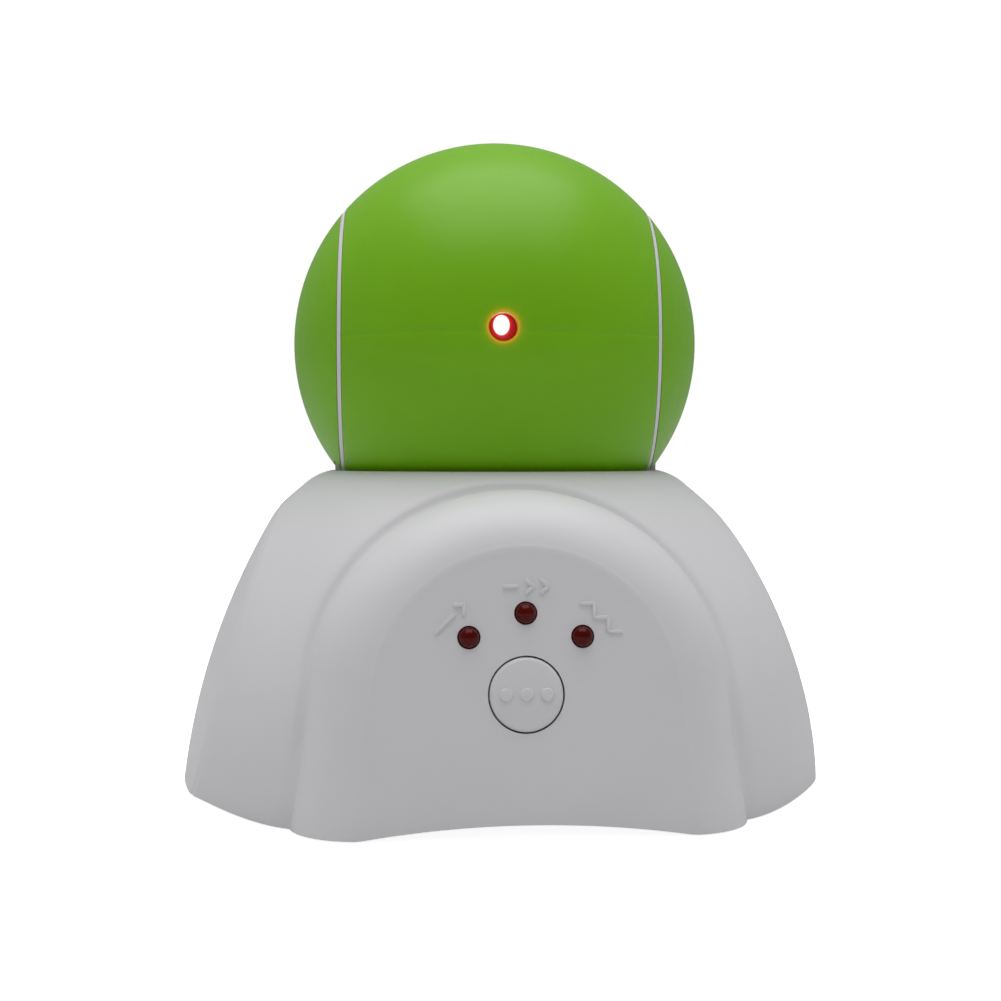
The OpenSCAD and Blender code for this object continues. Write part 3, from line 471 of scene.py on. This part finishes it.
def lit_round_window(material):
    """Paints the laser's red glow onto the green plastic as emission, fading out close round the window."""
    tree = material.node_tree
    shader = next(n for n in tree.nodes if n.type == "BSDF_PRINCIPLED")
    place = next(n for n in tree.nodes if n.type == "TEX_COORD").outputs["Object"]
    r = sizes().window_r
    mouth, line = SIGHT @ Vector((0, 0, sizes().ball_r)), SIGHT.to_3x3() @ Vector((0, 0, 1))
    off = add_node(tree, "ShaderNodeVectorMath", {0: place, 1: mouth}, operation="SUBTRACT").outputs["Vector"]
    swept = add_node(tree, "ShaderNodeVectorMath", {0: off, 1: line}, operation="CROSS_PRODUCT")
    around = add_node(tree, "ShaderNodeVectorMath", {0: swept.outputs["Vector"]}, operation="LENGTH")
    away = add_node(tree, "ShaderNodeVectorMath", {0: off}, operation="LENGTH")
    share = add_node(
        tree,
        "ShaderNodeMapRange",
        {"Value": around.outputs["Value"], "From Min": r, "From Max": r + SPILL_REACH, "To Max": 1.0},
    )
    tones = [(at, srgb(code)) for at, code in SPILL_STOPS]
    ramp = add_node(tree, "ShaderNodeValToRGB", {"Fac": share.outputs["Result"]}, stops=tones)
    power = add_node(
        tree,
        "ShaderNodeMapRange",
        {
            "Value": away.outputs["Value"],
            "From Min": 2 * r,
            "From Max": 2.2 * r,
            "To Min": 1.0,
            "To Max": 0.0,
        },
    )
    tree.links.new(ramp.outputs["Color"], shader.inputs["Emission Color"])
    tree.links.new(power.outputs["Result"], shader.inputs["Emission Strength"])
    return material


def lamp_resin(name):
    """Dark red epoxy lens, unlit: deep and clouded inside, with a hard gloss."""
    material, tree, shader, place = blank(name)
    set_all(shader, Roughness=0.16, IOR=1.54, Specular_IOR_Level=0.16)
    depth = add_node(
        tree, "ShaderNodeTexNoise", {"Vector": place, "Scale": 1 / (RESIN_MM * MM), "Detail": 1.0}
    ).outputs["Fac"]
    base = colours().lamp
    tones = ((0, tint(base, 0.75)), (1, tint(base, 1.2)))
    tone = add_node(tree, "ShaderNodeValToRGB", {"Fac": depth}, stops=tones)
    tree.links.new(tone.outputs["Color"], shader.inputs["Base Color"])
    return material


def laser_light(name):
    """Lit collimator lens: an upright white-hot heart, and crimson glass out to the rim."""
    material, tree, shader, place = blank(name)
    heart = SIGHT @ Vector(HEART)
    off = add_node(tree, "ShaderNodeVectorMath", {0: place, 1: heart}, operation="SUBTRACT")
    tall = add_node(
        tree, "ShaderNodeVectorMath", {0: off.outputs["Vector"], 1: HEART_SQUEEZE}, operation="MULTIPLY"
    )
    away = add_node(tree, "ShaderNodeVectorMath", {0: tall.outputs["Vector"]}, operation="LENGTH")
    reach = add_node(
        tree, "ShaderNodeMapRange", {"Value": away.outputs["Value"], "From Max": HEART_REACH, "To Max": 1.0}
    ).outputs["Result"]
    tones = [(at, srgb(code)) for at, code in LENS_STOPS]
    ramp = add_node(tree, "ShaderNodeValToRGB", {"Fac": reach}, stops=tones)
    power = add_node(
        tree,
        "ShaderNodeMapRange",
        {"Value": reach, "From Min": 0.45, "From Max": 0.58, "To Min": 2.4, "To Max": 0.95},
    )
    set_all(shader, Base_Color=srgb("#40100c"), Roughness=0.2)
    tree.links.new(ramp.outputs["Color"], shader.inputs["Emission Color"])
    tree.links.new(power.outputs["Result"], shader.inputs["Emission Strength"])
    return material


def finishes():
    """Materials by the record's slot, made once. Mould grain is drawn coarser than it is, to show."""
    if "moulded_white_abs" not in bpy.data.materials:
        # White ABS from a finely eroded mould: satin, even, with hardly a flow mark.
        moulded("moulded_white_abs", colours().white, 0.46, 0.35, grain=0.08, flow=0.012)
        # Green ABS, coloured through: a soft sheen, and faint clouds where the melt flowed round the window.
        green = {"grain": 0.07, "flow": 0.03, "shine": 0.28}
        moulded("moulded_green_abs", colours().green, 0.38, 0.4, **green)
        # The same plastic round the window, with the laser's red glow painted on it as emission.
        lit_round_window(moulded("moulded_green_abs_lit", colours().green, 0.38, 0.4, **green))
        # Grey acetal, moulded: waxy and slippery, a little brighter along its flow.
        moulded("grey_acetal", srgb("#b5b5b8"), 0.4, 0.5)
        # Black nylon, moulded: dull, with a drier bloom in patches.
        moulded("black_nylon", srgb("#1d1d1f"), 0.5, 0.4, flow=0.1)
        # Natural acetal gears: creamy, smooth from a polished mould.
        moulded("cream_acetal", srgb("#e4dcc4"), 0.32, 0.6)
        # Moulded rubber feet: matt black, with a grippy grain.
        moulded("foot_rubber", srgb("#232325"), 0.78, 0.3, grain=0.3, flow=0.08, ior=1.5)
        # Nickel-plated steel, drawn: bright, with lines along the wire or shaft.
        brushed("nickel_plated_steel", srgb("#c3c4c6"), 0.3)
        # Turned brass: warm, with fine tool lines.
        brushed("turned_brass", srgb("#c79a4b"), 0.28)
        # Shrink film round the cells: dark, smooth and a little streaky.
        moulded("cell_shrink_film", srgb("#3c4650"), 0.3, 0.6, grain=0.03, flow=0.12)
        # Solder mask on the circuit board: glossy green lacquer that clouds over the copper.
        moulded("green_solder_mask", srgb("#1f6b36"), 0.28, 0.8, grain=0.05, flow=0.1)
        # Dark red epoxy, cast: a deep, clouded lens under a hard gloss.
        lamp_resin("dark_red_epoxy")
        # Moulded glass, lit from behind: a white heart in crimson.
        laser_light("lit_laser_lens")
    by_slot = {
        "white_plastic": "moulded_white_abs",
        "green_plastic": "moulded_green_abs",
        "grey_plastic": "grey_acetal",
        "black_plastic": "black_nylon",
        "cream_gear": "cream_acetal",
        "rubber": "foot_rubber",
        "steel": "nickel_plated_steel",
        "brass": "turned_brass",
        "cell_wrap": "cell_shrink_film",
        "board": "green_solder_mask",
        "red_lamp": "dark_red_epoxy",
        "lens": "lit_laser_lens",
    }
    made = {slot: bpy.data.materials[name] for slot, name in by_slot.items()}
    made["green_lit"] = bpy.data.materials["moulded_green_abs_lit"]
    return made


# The base's skin: a dome with crowned side faces, and an arched panel with a rolled border front and back.
# The two front quarters are shaped and mirrored to the back. A line of their mesh follows the panel's groove.


def soft_cut(a, b, k):
    """Keeps what is inside both distance fields, with an edge rounded by k."""
    h = np.maximum(k - np.abs(a - b), 0) / k
    return np.maximum(a, b) + h * h * k / 4


def roll_shape():
    """Radius of the roll round a panel, and how far its centre lies from the panel's middle."""
    s = sizes()
    bend = (s.panel_r - s.flat_r) / (1 - math.sin(ROLL_LEAN))
    return bend, s.flat_r - bend * math.sin(ROLL_LEAN)


def off_panel(x, y, z):
    """Distance from the roll round the nearer panel."""
    s = sizes()
    bend, centre = roll_shape()
    depth = np.abs(y) - s.face_d
    w = depth * math.cos(FACE_TILT) + z * math.sin(FACE_TILT)
    v = z * math.cos(FACE_TILT) - depth * math.sin(FACE_TILT)
    rise, across = v - s.panel_v, np.abs(x)
    straight = across * math.cos(SPLAY) + rise * math.sin(SPLAY)
    out = np.where(rise < across * math.tan(SPLAY), straight, np.hypot(x, rise))
    sunk = w + bend * math.cos(ROLL_LEAN)
    return np.where(sunk > 0, np.hypot(np.maximum(out - centre, 0), sunk) - bend, out - s.panel_r)


def dome_field(x, y, z):
    """Distance to the dome with its top edge, its side faces, and the groove and seams round them."""
    s = sizes()
    dome = np.hypot(np.hypot(x, y) + s.dome_past, z - s.dome_z) - s.dome_r
    past, bow = np.where(x < 0, ((s.left_past,), (s.left_crown,)), ((s.right_past,), (s.right_crown,)))
    side = np.abs(x) - np.sqrt(s.side_r**2 - (z + s.side_drop) ** 2) + past + y**2 / bow
    seam = s.seam_dip * np.exp(-(((dome - side) / s.seam_w) ** 2))
    deep = s.groove_dip * np.clip(z / GROOVE_FADE, GROOVE_LEAST, 1)
    groove = deep * np.exp(-((np.maximum(off_panel(x, y, z), 0) / s.groove_w) ** 2))
    return soft_cut(soft_cut(dome, side, s.side_edge), z - s.base_h, s.top_round) + seam + groove


def halved(inside, near, far):
    """Halves each range until it ends where inside turns false."""
    for _ in range(HALVINGS):
        middle = (near + far) / 2
        hit = inside(middle)
        near, far = np.where(hit, middle, near), np.where(hit, far, middle)
    return near


def dome_point(azimuth, elevation):
    """Place where a ray from the frame's origin leaves the dome."""
    level = np.cos(elevation)
    way = np.stack([level * np.sin(azimuth), -level * np.cos(azimuth), np.sin(elevation)])
    near, far = np.full(azimuth.shape, RAY_FROM), np.full(azimuth.shape, RAY_TO)
    return way * halved(lambda r: dome_field(*(way * r)) < 0, near, far)


def toe_line(x):
    """Height of a panel's lower edge, which arches between its toes."""
    s = sizes()
    radius = (s.toe_x**2 + s.toe_rise**2) / (2 * s.toe_rise)
    return np.maximum(s.toe_rise - radius + np.sqrt(np.maximum(radius**2 - x**2, 0)), s.toe_z)


def toe_up(x, w):
    """The same edge's place up the face, at a depth w."""
    return (toe_line(x) - w * math.sin(FACE_TILT)) / math.cos(FACE_TILT)


def round_panel(turn):
    """Angle on the arch at a share of the way from the crown to a toe, and how far down the straight side."""
    s = sizes()
    bow = (QUARTER - SPLAY) * s.flat_r
    arch = bow / (bow + s.panel_v)
    swing = QUARTER - (QUARTER - SPLAY) * np.minimum(turn / arch, 1)
    return swing, np.maximum(turn - arch, 0) / (1 - arch)


def roll_point(turn, run):
    """Point of the front panel's roll across, up and out of its face.

    turn goes round the panel from its crown, 0, to a toe, 1. run goes along the roll from the flat's edge.
    """
    s = sizes()
    bend, centre = roll_shape()
    full = bend * (QUARTER - ROLL_LEAN)
    slope = QUARTER - ROLL_LEAN - np.minimum(run, full) / bend
    out = centre + bend * np.cos(slope)
    w = bend * (np.sin(slope) - math.cos(ROLL_LEAN)) - np.maximum(run - full, 0)
    swing, fall = round_panel(turn)
    foot = toe_up(out, w)
    for _ in range(RIM_TRIES):
        side = (s.panel_v + out * math.sin(SPLAY) - foot) / math.cos(SPLAY)
        foot = toe_up(out * math.cos(SPLAY) + side * math.sin(SPLAY), w)
    x = out * np.cos(swing) + fall * side * math.sin(SPLAY)
    return x, s.panel_v + out * np.sin(swing) - fall * side * math.cos(SPLAY), w


def from_face(x, v, w):
    """Place in the frame of a point across, up and out of the front face."""
    depth = w * math.cos(FACE_TILT) - v * math.sin(FACE_TILT)
    return np.stack([x, -sizes().face_d - depth, w * math.sin(FACE_TILT) + v * math.cos(FACE_TILT)])


def groove_run(turn):
    """How far along the roll the groove lies."""

    def outside(run):
        return dome_field(*from_face(*roll_point(turn, run))) > 0

    return halved(outside, np.zeros_like(turn), np.full(turn.shape, sizes().panel_r))


def angles_of(point):
    """Azimuth and elevation of a point, seen from the frame's origin."""
    return np.arctan2(point[0], -point[1]), np.arctan2(point[2], np.hypot(point[0], point[1]))


def rim_height(point):
    """Height of the skirt's rim, which falls to the toes beside the panels."""
    s = sizes()
    share = np.clip((np.abs(point[1]) - RIM_FALL[0]) / (RIM_FALL[1] - RIM_FALL[0]), 0, 1)
    return s.rim_z + (s.toe_z - s.rim_z) * share**2 * (3 - 2 * share)


def dome_quarter(across, up, hand):
    """Points of the dome on the right, 1, or left, -1, from the groove and the rim up to the mouth."""
    s = sizes()
    turn = np.minimum(across / ARCH_SHARE, 1)
    azimuth, low = angles_of(from_face(*roll_point(turn, groove_run(turn))))
    corner = azimuth[np.argmax(across == ARCH_SHARE)]
    past = np.maximum(across - ARCH_SHARE, 0) / (1 - ARCH_SHARE)
    rim = np.interp(past, RIM_SHARES, (corner, SEAM_FROM, SEAM_TO, QUARTER))
    azimuth = np.where(past > 0, rim, azimuth)
    for _ in range(RIM_TRIES):
        edge = dome_point(hand * azimuth, low)
        low = np.where(past > 0, np.arctan2(rim_height(edge), np.hypot(edge[0], edge[1])), low)
    fan = np.interp(turn, FAN_SHARES, FAN_TURNS)
    at_mouth = fan + np.where(past > 0, (azimuth - corner) * (QUARTER - fan) / (QUARTER - corner), 0)
    top = math.atan2(s.base_h, s.mouth_r)
    swing, fall = round_panel(turn)
    heading = np.where(
        past > 0,
        QUARTER / 2 * (1 + np.minimum(past / RISE_SHARE, 1)),
        np.maximum(swing, LEAVE_LOW + fall * (QUARTER / 2 - LEAVE_LOW)),
    )
    reach = np.minimum(LEAVE_REACH, LEAVE_SHARE * np.hypot(at_mouth - azimuth, top - low))
    share = np.interp(up, np.linspace(0, 1, len(ROWS)), ROWS)
    first, middle, last = (1 - share) ** 2, 2 * share * (1 - share), share**2
    return dome_point(
        hand * (first * azimuth + middle * (azimuth + reach * np.cos(heading)) + last * at_mouth),
        first * low + middle * (low + reach * np.sin(heading)) + last * top,
    )


def panel_quarter(across, up, hand):
    """Points of one hand of the panel, from the middle of its foot over the flat and roll to the groove."""
    flat = 1 - np.maximum(1 - up / FLAT_SHARE, 0) ** FLAT_EASE
    past = np.maximum(up - FLAT_SHARE, 0) / (1 - FLAT_SHARE)
    eased = (past + (1 - np.cos(math.pi * past)) / 2) / 2
    x, v, w = roll_point(across, groove_run(across) * eased)
    inner = x * flat
    crease = CREASE * np.isclose(up, FLAT_SHARE) * (1 - round_panel(across)[1])
    return from_face(hand * inner, toe_up(inner, w) + flat * (v - toe_up(x, w)), w + crease)


def shaped_grid(name, columns, rows, place, hand):
    """Grid whose points place() puts on a surface, by their shares across and up the grid, on one hand."""
    sheet = primitive(
        name, bpy.ops.mesh.primitive_grid_add, x_subdivisions=columns, y_subdivisions=rows, size=1
    )
    flat = np.empty(len(sheet.data.vertices) * 3)
    sheet.data.vertices.foreach_get("co", flat)
    across, up = (np.rint((flat[i::3] + 0.5) * n) / n for i, n in enumerate((columns, rows)))
    sheet.data.vertices.foreach_set("co", place(across, up, hand).T.ravel())
    return sheet


def lamp_places():
    """Lamp centres on the control panel, across and up."""
    s = sizes()
    return [(s.lamp_ring * math.cos(a), s.button_v + s.lamp_ring * math.sin(a)) for a in LAMP_TURNS]


def on_panel(obj, across, up):
    """Settles a piece on the control panel, its own Z pointing out of the face."""
    return settle(obj, PANEL @ Matrix.Translation((across, up, 0)))


def drill(name, r, depth):
    """Round cutter along Z."""
    return primitive(name, bpy.ops.mesh.primitive_cylinder_add, vertices=HOLE_STEPS, radius=r, depth=depth)


def panel_drill(name, r, across, up):
    """Round cutter through the control panel's wall."""
    return on_panel(drill(name, r, DRILL_DEEP), across, up)


class TEASER_OT_base(bpy.types.Operator):
    """Build the base: a moulded white shell with its grooves, button hole and lamp holes"""

    bl_idname = "teaser.base"
    bl_label = "Base shell"

    def execute(self, context):
        s = sizes()
        parts = []
        for hand in (1, -1):
            parts += [
                shaped_grid("dome_quarter", ARCH_STEPS + RIM_STEPS, len(ROWS) - 1, dome_quarter, hand),
                shaped_grid("panel_quarter", ARCH_STEPS, FLAT_RINGS + ROLL_RINGS, panel_quarter, hand),
            ]
        skin = joined("base_skin", parts)
        edit(skin)
        bpy.ops.mesh.remove_doubles(threshold=MERGE)
        bpy.ops.mesh.normals_make_consistent(inside=False)
        leave()
        if skin.data.polygons[0].normal.dot(skin.data.polygons[0].center) < 0:
            edit(skin)
            bpy.ops.mesh.flip_normals()
            leave()
        finish_with(skin, "MIRROR", use_axis=(False, True, False), merge_threshold=10 * MERGE)
        finish_with(skin, "SOLIDIFY", thickness=s.wall, offset=-1, use_even_offset=False)
        holes = [panel_drill("button_hole", s.button_r + s.button_gap, 0, s.button_v)]
        holes += [panel_drill("lamp_hole", s.lamp_r + s.lamp_gap, *at) for at in lamp_places()]
        cut_away(skin, *holes)
        smooth(skin)
        dress(skin, finishes()["white_plastic"], "base", "white_plastic", "base_shell")
        return {"FINISHED"}


class TEASER_OT_ball(bpy.types.Operator):
    """Build the ball: two halves of the tilting band, two side caps and the white rings in their seams"""

    bl_idname = "teaser.ball"
    bl_label = "Ball shells"

    def execute(self, context):
        s = sizes()
        r, inner = s.ball_r / MM, (s.ball_r - s.wall) / MM
        outside = math.degrees(math.asin(s.band_x / s.ball_r))
        inside = math.degrees(math.asin(s.band_x / (s.ball_r - s.wall)))
        ring = arc((0, 0), r, -outside, outside, BAND_OUTER) + arc((0, 0), inner, inside, -inside, BAND_INNER)
        along_x = Matrix.Rotation(QUARTER, 4, "Y")
        halves = (("band_upper", 1, "drum_upper_shell"), ("band_lower", -1, "drum_lower_shell"))
        for name, sign, node in halves:
            half = settle(turned(name, ring, BAND_STEPS, closed=True), along_x)
            edit(half)
            bpy.ops.mesh.bisect(
                plane_co=(0, 0, sign * s.parting / 2), plane_no=(0, 0, sign), use_fill=True, clear_inner=True
            )
            leave()
            window = drill("window_drill", s.window_r, s.ball_r)
            cut_away(half, settle(window, SIGHT_TURN @ Matrix.Translation((0, 0, s.ball_r))))
            soften(half, s.edge)
            smooth(settle(half, BALL))
            dress(half, finishes()["green_lit"], "drum", "green_plastic", node)
        foot = math.degrees(math.asin(s.cap_x / s.ball_r))
        pocket = math.degrees(math.asin(s.cap_x / (s.ball_r - s.wall)))
        dish = arc((0, 0), inner, 90, pocket, CAP_INNER) + arc((0, 0), r, foot, 90, CAP_OUTER)
        for side, turn in (("right", 0), ("left", math.pi)):
            place = BALL @ Matrix.Rotation(turn, 4, "Z")
            cap = settle(turned(f"cap_{side}", dish, CAP_STEPS), along_x)
            notch = primitive("leg_notch", bpy.ops.mesh.primitive_cube_add, size=1, scale=LEG_NOTCH)
            settle(notch, Matrix.Translation((s.cap_x, 0, -NOTCH_DROP * s.ball_r)))
            cut_away(cap, notch)
            soften(cap, s.edge)
            smooth(settle(cap, place))
            dress(cap, finishes()["green_plastic"], "pan_head", "green_plastic", f"{side}_cap")
            seam = soften(turned(f"seam_ring_{side}", SEAM_RING, CAP_STEPS, closed=True), FINE_EDGE)
            smooth(settle(seam, place @ along_x))
            dress(seam, finishes()["white_plastic"], "pan_head", "white_plastic")
        return {"FINISHED"}


class TEASER_OT_controls(bpy.types.Operator):
    """Build the mode button and the three lamps"""

    bl_idname = "teaser.controls"
    bl_label = "Button and lamps"

    def execute(self, context):
        s = sizes()
        r = s.button_r / MM
        flange = [(BUTTON_STEM[-1][0], FLANGE_LOW), (r + FLANGE_OUT, FLANGE_LOW)]
        flange += [(r + FLANGE_OUT, FLANGE_TOP), (r, FLANGE_TOP)]
        crown = [*arc((r - CROWN_R, CROWN_Z), CROWN_R, 0, CROWN_END, CROWN_ARC), (0, CROWN_TOP)]
        button = turned("mode_button_cap", BUTTON_STEM + flange + crown, BUTTON_STEPS)
        soften(button, BUTTON_EDGE, angle=50)
        on_panel(smooth(button), 0, s.button_v)
        dress(button, finishes()["white_plastic"], "mode_button", "white_plastic", "mode_button")
        lamp_r = s.lamp_r / MM
        out = lamp_r + LAMP_OUT
        dome = [(0, LAMP_FOOT), (out, LAMP_FOOT), (out, LAMP_FLANGE), (lamp_r, LAMP_FLANGE)]
        dome += arc((0, LAMP_TOP - lamp_r), lamp_r, 0, 90, DOME_ARC)
        for name, at in zip(("left", "middle", "right"), lamp_places()):
            parts = [turned("lens", dome, LAMP_STEPS)]
            for across in (-s.lamp_r / 2, s.lamp_r / 2):
                leg = primitive("leg", bpy.ops.mesh.primitive_cube_add, size=1, scale=LAMP_LEG)
                settle(leg, Matrix.Translation((across, 0, LEG_MIDDLE)))
                parts.append(soften(leg, FINE_EDGE))
            lamp = smooth(on_panel(joined(f"lamp_{name}_lens", parts), *at))
            dress(lamp, finishes()["red_lamp"], "base", "red_lamp", f"lamp_{name}")
        return {"FINISHED"}


def arrow_head(at):
    """Two bars that point along a mark."""
    return [(at, 0.42, 1.5, -45), (at, -0.42, 1.5, 45)]


# Marks beside the lamps, as bars: places along and across in mm, length in mm and turn in degrees.
MARKS = (
    [(-0.9, 0, 3.6, 0), *arrow_head(2.0)],
    [(-1.9, 0, 2.0, 0), *arrow_head(0.5), *arrow_head(2.4)],
    [(1.25 * i - 2.5, 0, 1.9, 45 * (-1) ** i) for i in range(5)],
)
# A dot on the button, as radius and height in mm.
DOT = [(0, 0.1), (0.85, 0.1), (0.85, 0.4), *arc((0.65, 0.4), 0.2, 0, 90, 4), (0, 0.62)]


class TEASER_OT_marks(bpy.types.Operator):
    """Build the raised marks beside the lamps and the dots on the button"""

    bl_idname = "teaser.marks"
    bl_label = "Raised marks"

    def execute(self, context):
        s = sizes()
        middle = PANEL @ Matrix.Translation((0, s.button_v, 0))
        bars = []
        for turn, mark in zip(LAMP_TURNS, MARKS):
            for along, across, run, lean in mark:
                bar = primitive(
                    "mark_bar",
                    bpy.ops.mesh.primitive_cube_add,
                    size=1,
                    scale=(run * MM, s.mark_w, 2 * s.mark_h),
                )
                soften(bar, s.mark_h / 2)
                place = Matrix.Translation((along * MM, s.mark_ring + across * MM, 0))
                spin = Matrix.Rotation(math.radians(lean), 4, "Z")
                bars.append(settle(bar, middle @ Matrix.Rotation(turn - QUARTER, 4, "Z") @ place @ spin))
        dress(smooth(joined("lamp_marks", bars)), finishes()["white_plastic"], "base", "white_plastic")
        dots = []
        for across in DOT_PLACES:
            dots.append(on_panel(turned("button_dot", DOT, DOT_STEPS), across, s.button_v))
        dots = smooth(joined("button_dots", dots))
        dress(dots, finishes()["white_plastic"], "mode_button", "white_plastic")
        return {"FINISHED"}


class TEASER_OT_laser(bpy.types.Operator):
    """Build the lit lens behind the ball's window, with a brim over the front of its barrel"""

    bl_idname = "teaser.laser"
    bl_label = "Laser lens"

    def execute(self, context):
        lens = turned("laser_lens_lit", LENS_BACK + arc(*LENS_SWELL), HOLE_STEPS)
        smooth(settle(lens, SIGHT))
        dress(lens, finishes()["lens"], "drum", "lens", "laser_lens")
        return {"FINISHED"}


class TEASER_OT_finishes(bpy.types.Operator):
    """Give every CAD piece its finish"""

    bl_idname = "teaser.finishes"
    bl_label = "Finishes"

    def execute(self, context):
        made = finishes()
        for row in frame["record"]["subparts"]:
            mesh = frame["nodes"][row["node"]].data
            mesh.materials.clear()
            mesh.materials.append(made[row["material_slot"]])
        return {"FINISHED"}


class TEASER_OT_stage(bpy.types.Operator):
    """Set the pale floor, the soft studio light and the camera"""

    bl_idname = "teaser.stage"
    bl_label = "Stage"

    def execute(self, context):
        floor = primitive(
            "floor", bpy.ops.mesh.primitive_circle_add, vertices=FLOOR_STEPS, radius=FLOOR_R, fill_type="NGON"
        )
        # White seamless paper: matt and bright to the eye, with a low bounce so that undersides stay darker.
        material, tree, shader, place = blank("matt_paper")
        set_all(shader, Roughness=0.95, Specular_IOR_Level=0.1, Emission_Color=WHITE)
        seen = add_node(tree, "ShaderNodeLightPath").outputs["Is Camera Ray"]
        paper = add_node(
            tree, "ShaderNodeMapRange", {"Value": seen, "To Min": PAPER_BOUNCE, "To Max": PAPER_SEEN}
        )
        away = add_node(tree, "ShaderNodeVectorMath", {0: place}, operation="LENGTH")
        spread = add_node(
            tree,
            "ShaderNodeMapRange",
            {
                "Value": away.outputs["Value"],
                "From Min": FLOOR_NEAR[0],
                "From Max": FLOOR_FAR[0],
                "To Min": FLOOR_NEAR[1],
                "To Max": FLOOR_FAR[1],
            },
        )
        glow = add_node(tree, "ShaderNodeMath", {0: seen, 1: spread.outputs["Result"]}, operation="MULTIPLY")
        tree.links.new(paper.outputs["Result"], shader.inputs["Base Color"])
        tree.links.new(glow.outputs["Value"], shader.inputs["Emission Strength"])
        floor.data.materials.append(material)
        world = bpy.data.worlds.new("studio")
        world.use_nodes = True
        tree = world.node_tree
        tree.nodes.clear()
        ray = add_node(tree, "ShaderNodeLightPath")
        sky = add_node(tree, "ShaderNodeTexCoord").outputs["Generated"]
        way = add_node(tree, "ShaderNodeSeparateXYZ", {0: sky})
        fade = add_node(
            tree,
            "ShaderNodeMapRange",
            {"Value": way.outputs["Y"], "From Min": -1.0, "To Min": ROOM_FRONT, "To Max": ROOM_BACK},
        )
        dim = add_node(
            tree,
            "ShaderNodeMapRange",
            {"Value": ray.outputs["Is Glossy Ray"], "To Min": 1.0, "To Max": ROOM_GLOSS},
        )
        lit = add_node(
            tree,
            "ShaderNodeMath",
            {0: fade.outputs["Result"], 1: dim.outputs["Result"]},
            operation="MULTIPLY",
        ).outputs["Value"]
        room = add_node(tree, "ShaderNodeBackground", {"Color": WHITE, "Strength": lit})
        white = add_node(tree, "ShaderNodeBackground", {"Color": WHITE, "Strength": 1.0})
        pick = add_node(
            tree,
            "ShaderNodeMixShader",
            {0: ray.outputs["Is Camera Ray"], 1: room.outputs["Background"], 2: white.outputs["Background"]},
        )
        add_node(tree, "ShaderNodeOutputWorld", {"Surface": pick.outputs["Shader"]})
        context.scene.world = world
        light = bpy.data.lights.new("top_box", "AREA")
        light.energy, light.size = SOFTBOX_POWER, SOFTBOX_W
        box = bpy.data.objects.new("top_box", light)
        context.scene.collection.objects.link(box)
        box.location = SOFTBOX_AT
        box.rotation_euler = (SOFTBOX_TO - SOFTBOX_AT).to_track_quat("-Z", "Y").to_euler()
        lens = bpy.data.cameras.new("photo_camera")
        lens.lens, lens.sensor_width, lens.clip_start = LENS_MM, SENSOR_MM, CLIP
        lens.shift_x, lens.shift_y = SHIFT
        camera = bpy.data.objects.new("photo_camera", lens)
        context.scene.collection.objects.link(camera)
        camera.location = Matrix.Rotation(CAMERA_TURN, 3, "Z") @ Vector((0, -CAMERA_REACH, CAMERA_Z))
        camera.rotation_euler = (QUARTER, 0, CAMERA_TURN)
        context.scene.camera = camera
        context.scene.view_settings.view_transform = "Standard"
        return {"FINISHED"}


class TEASER_PT_builder(bpy.types.Panel):
    """Sidebar panel with the steps of the build"""

    bl_idname = "TEASER_PT_builder"
    bl_label = "Laser teaser ball"
    bl_space_type = "VIEW_3D"
    bl_region_type = "UI"
    bl_category = "Teaser"

    def draw(self, context):
        for step in STEPS:
            self.layout.operator(step.bl_idname)
        for group in (context.scene.teaser_sizes, context.scene.teaser_colours):
            box = self.layout.box()
            for key in group.bl_rna.properties.keys():
                if key not in ("rna_type", "name"):
                    box.prop(group, key)


STEPS = (
    TEASER_OT_finishes,
    TEASER_OT_base,
    TEASER_OT_ball,
    TEASER_OT_controls,
    TEASER_OT_marks,
    TEASER_OT_laser,
    TEASER_OT_stage,
)
CLASSES = (TeaserSizes, TeaserColours, *STEPS, TEASER_PT_builder)


def register():
    for cls in CLASSES:
        bpy.utils.register_class(cls)
    bpy.types.Scene.teaser_sizes = PointerProperty(type=TeaserSizes)
    bpy.types.Scene.teaser_colours = PointerProperty(type=TeaserColours)


def unregister():
    del bpy.types.Scene.teaser_colours
    del bpy.types.Scene.teaser_sizes
    for cls in reversed(CLASSES):
        bpy.utils.unregister_class(cls)


def main():
    register()
    for step in STEPS:
        area, name = step.bl_idname.split(".")
        getattr(getattr(bpy.ops, area), name)()


if __name__ == "__main__":
    main()
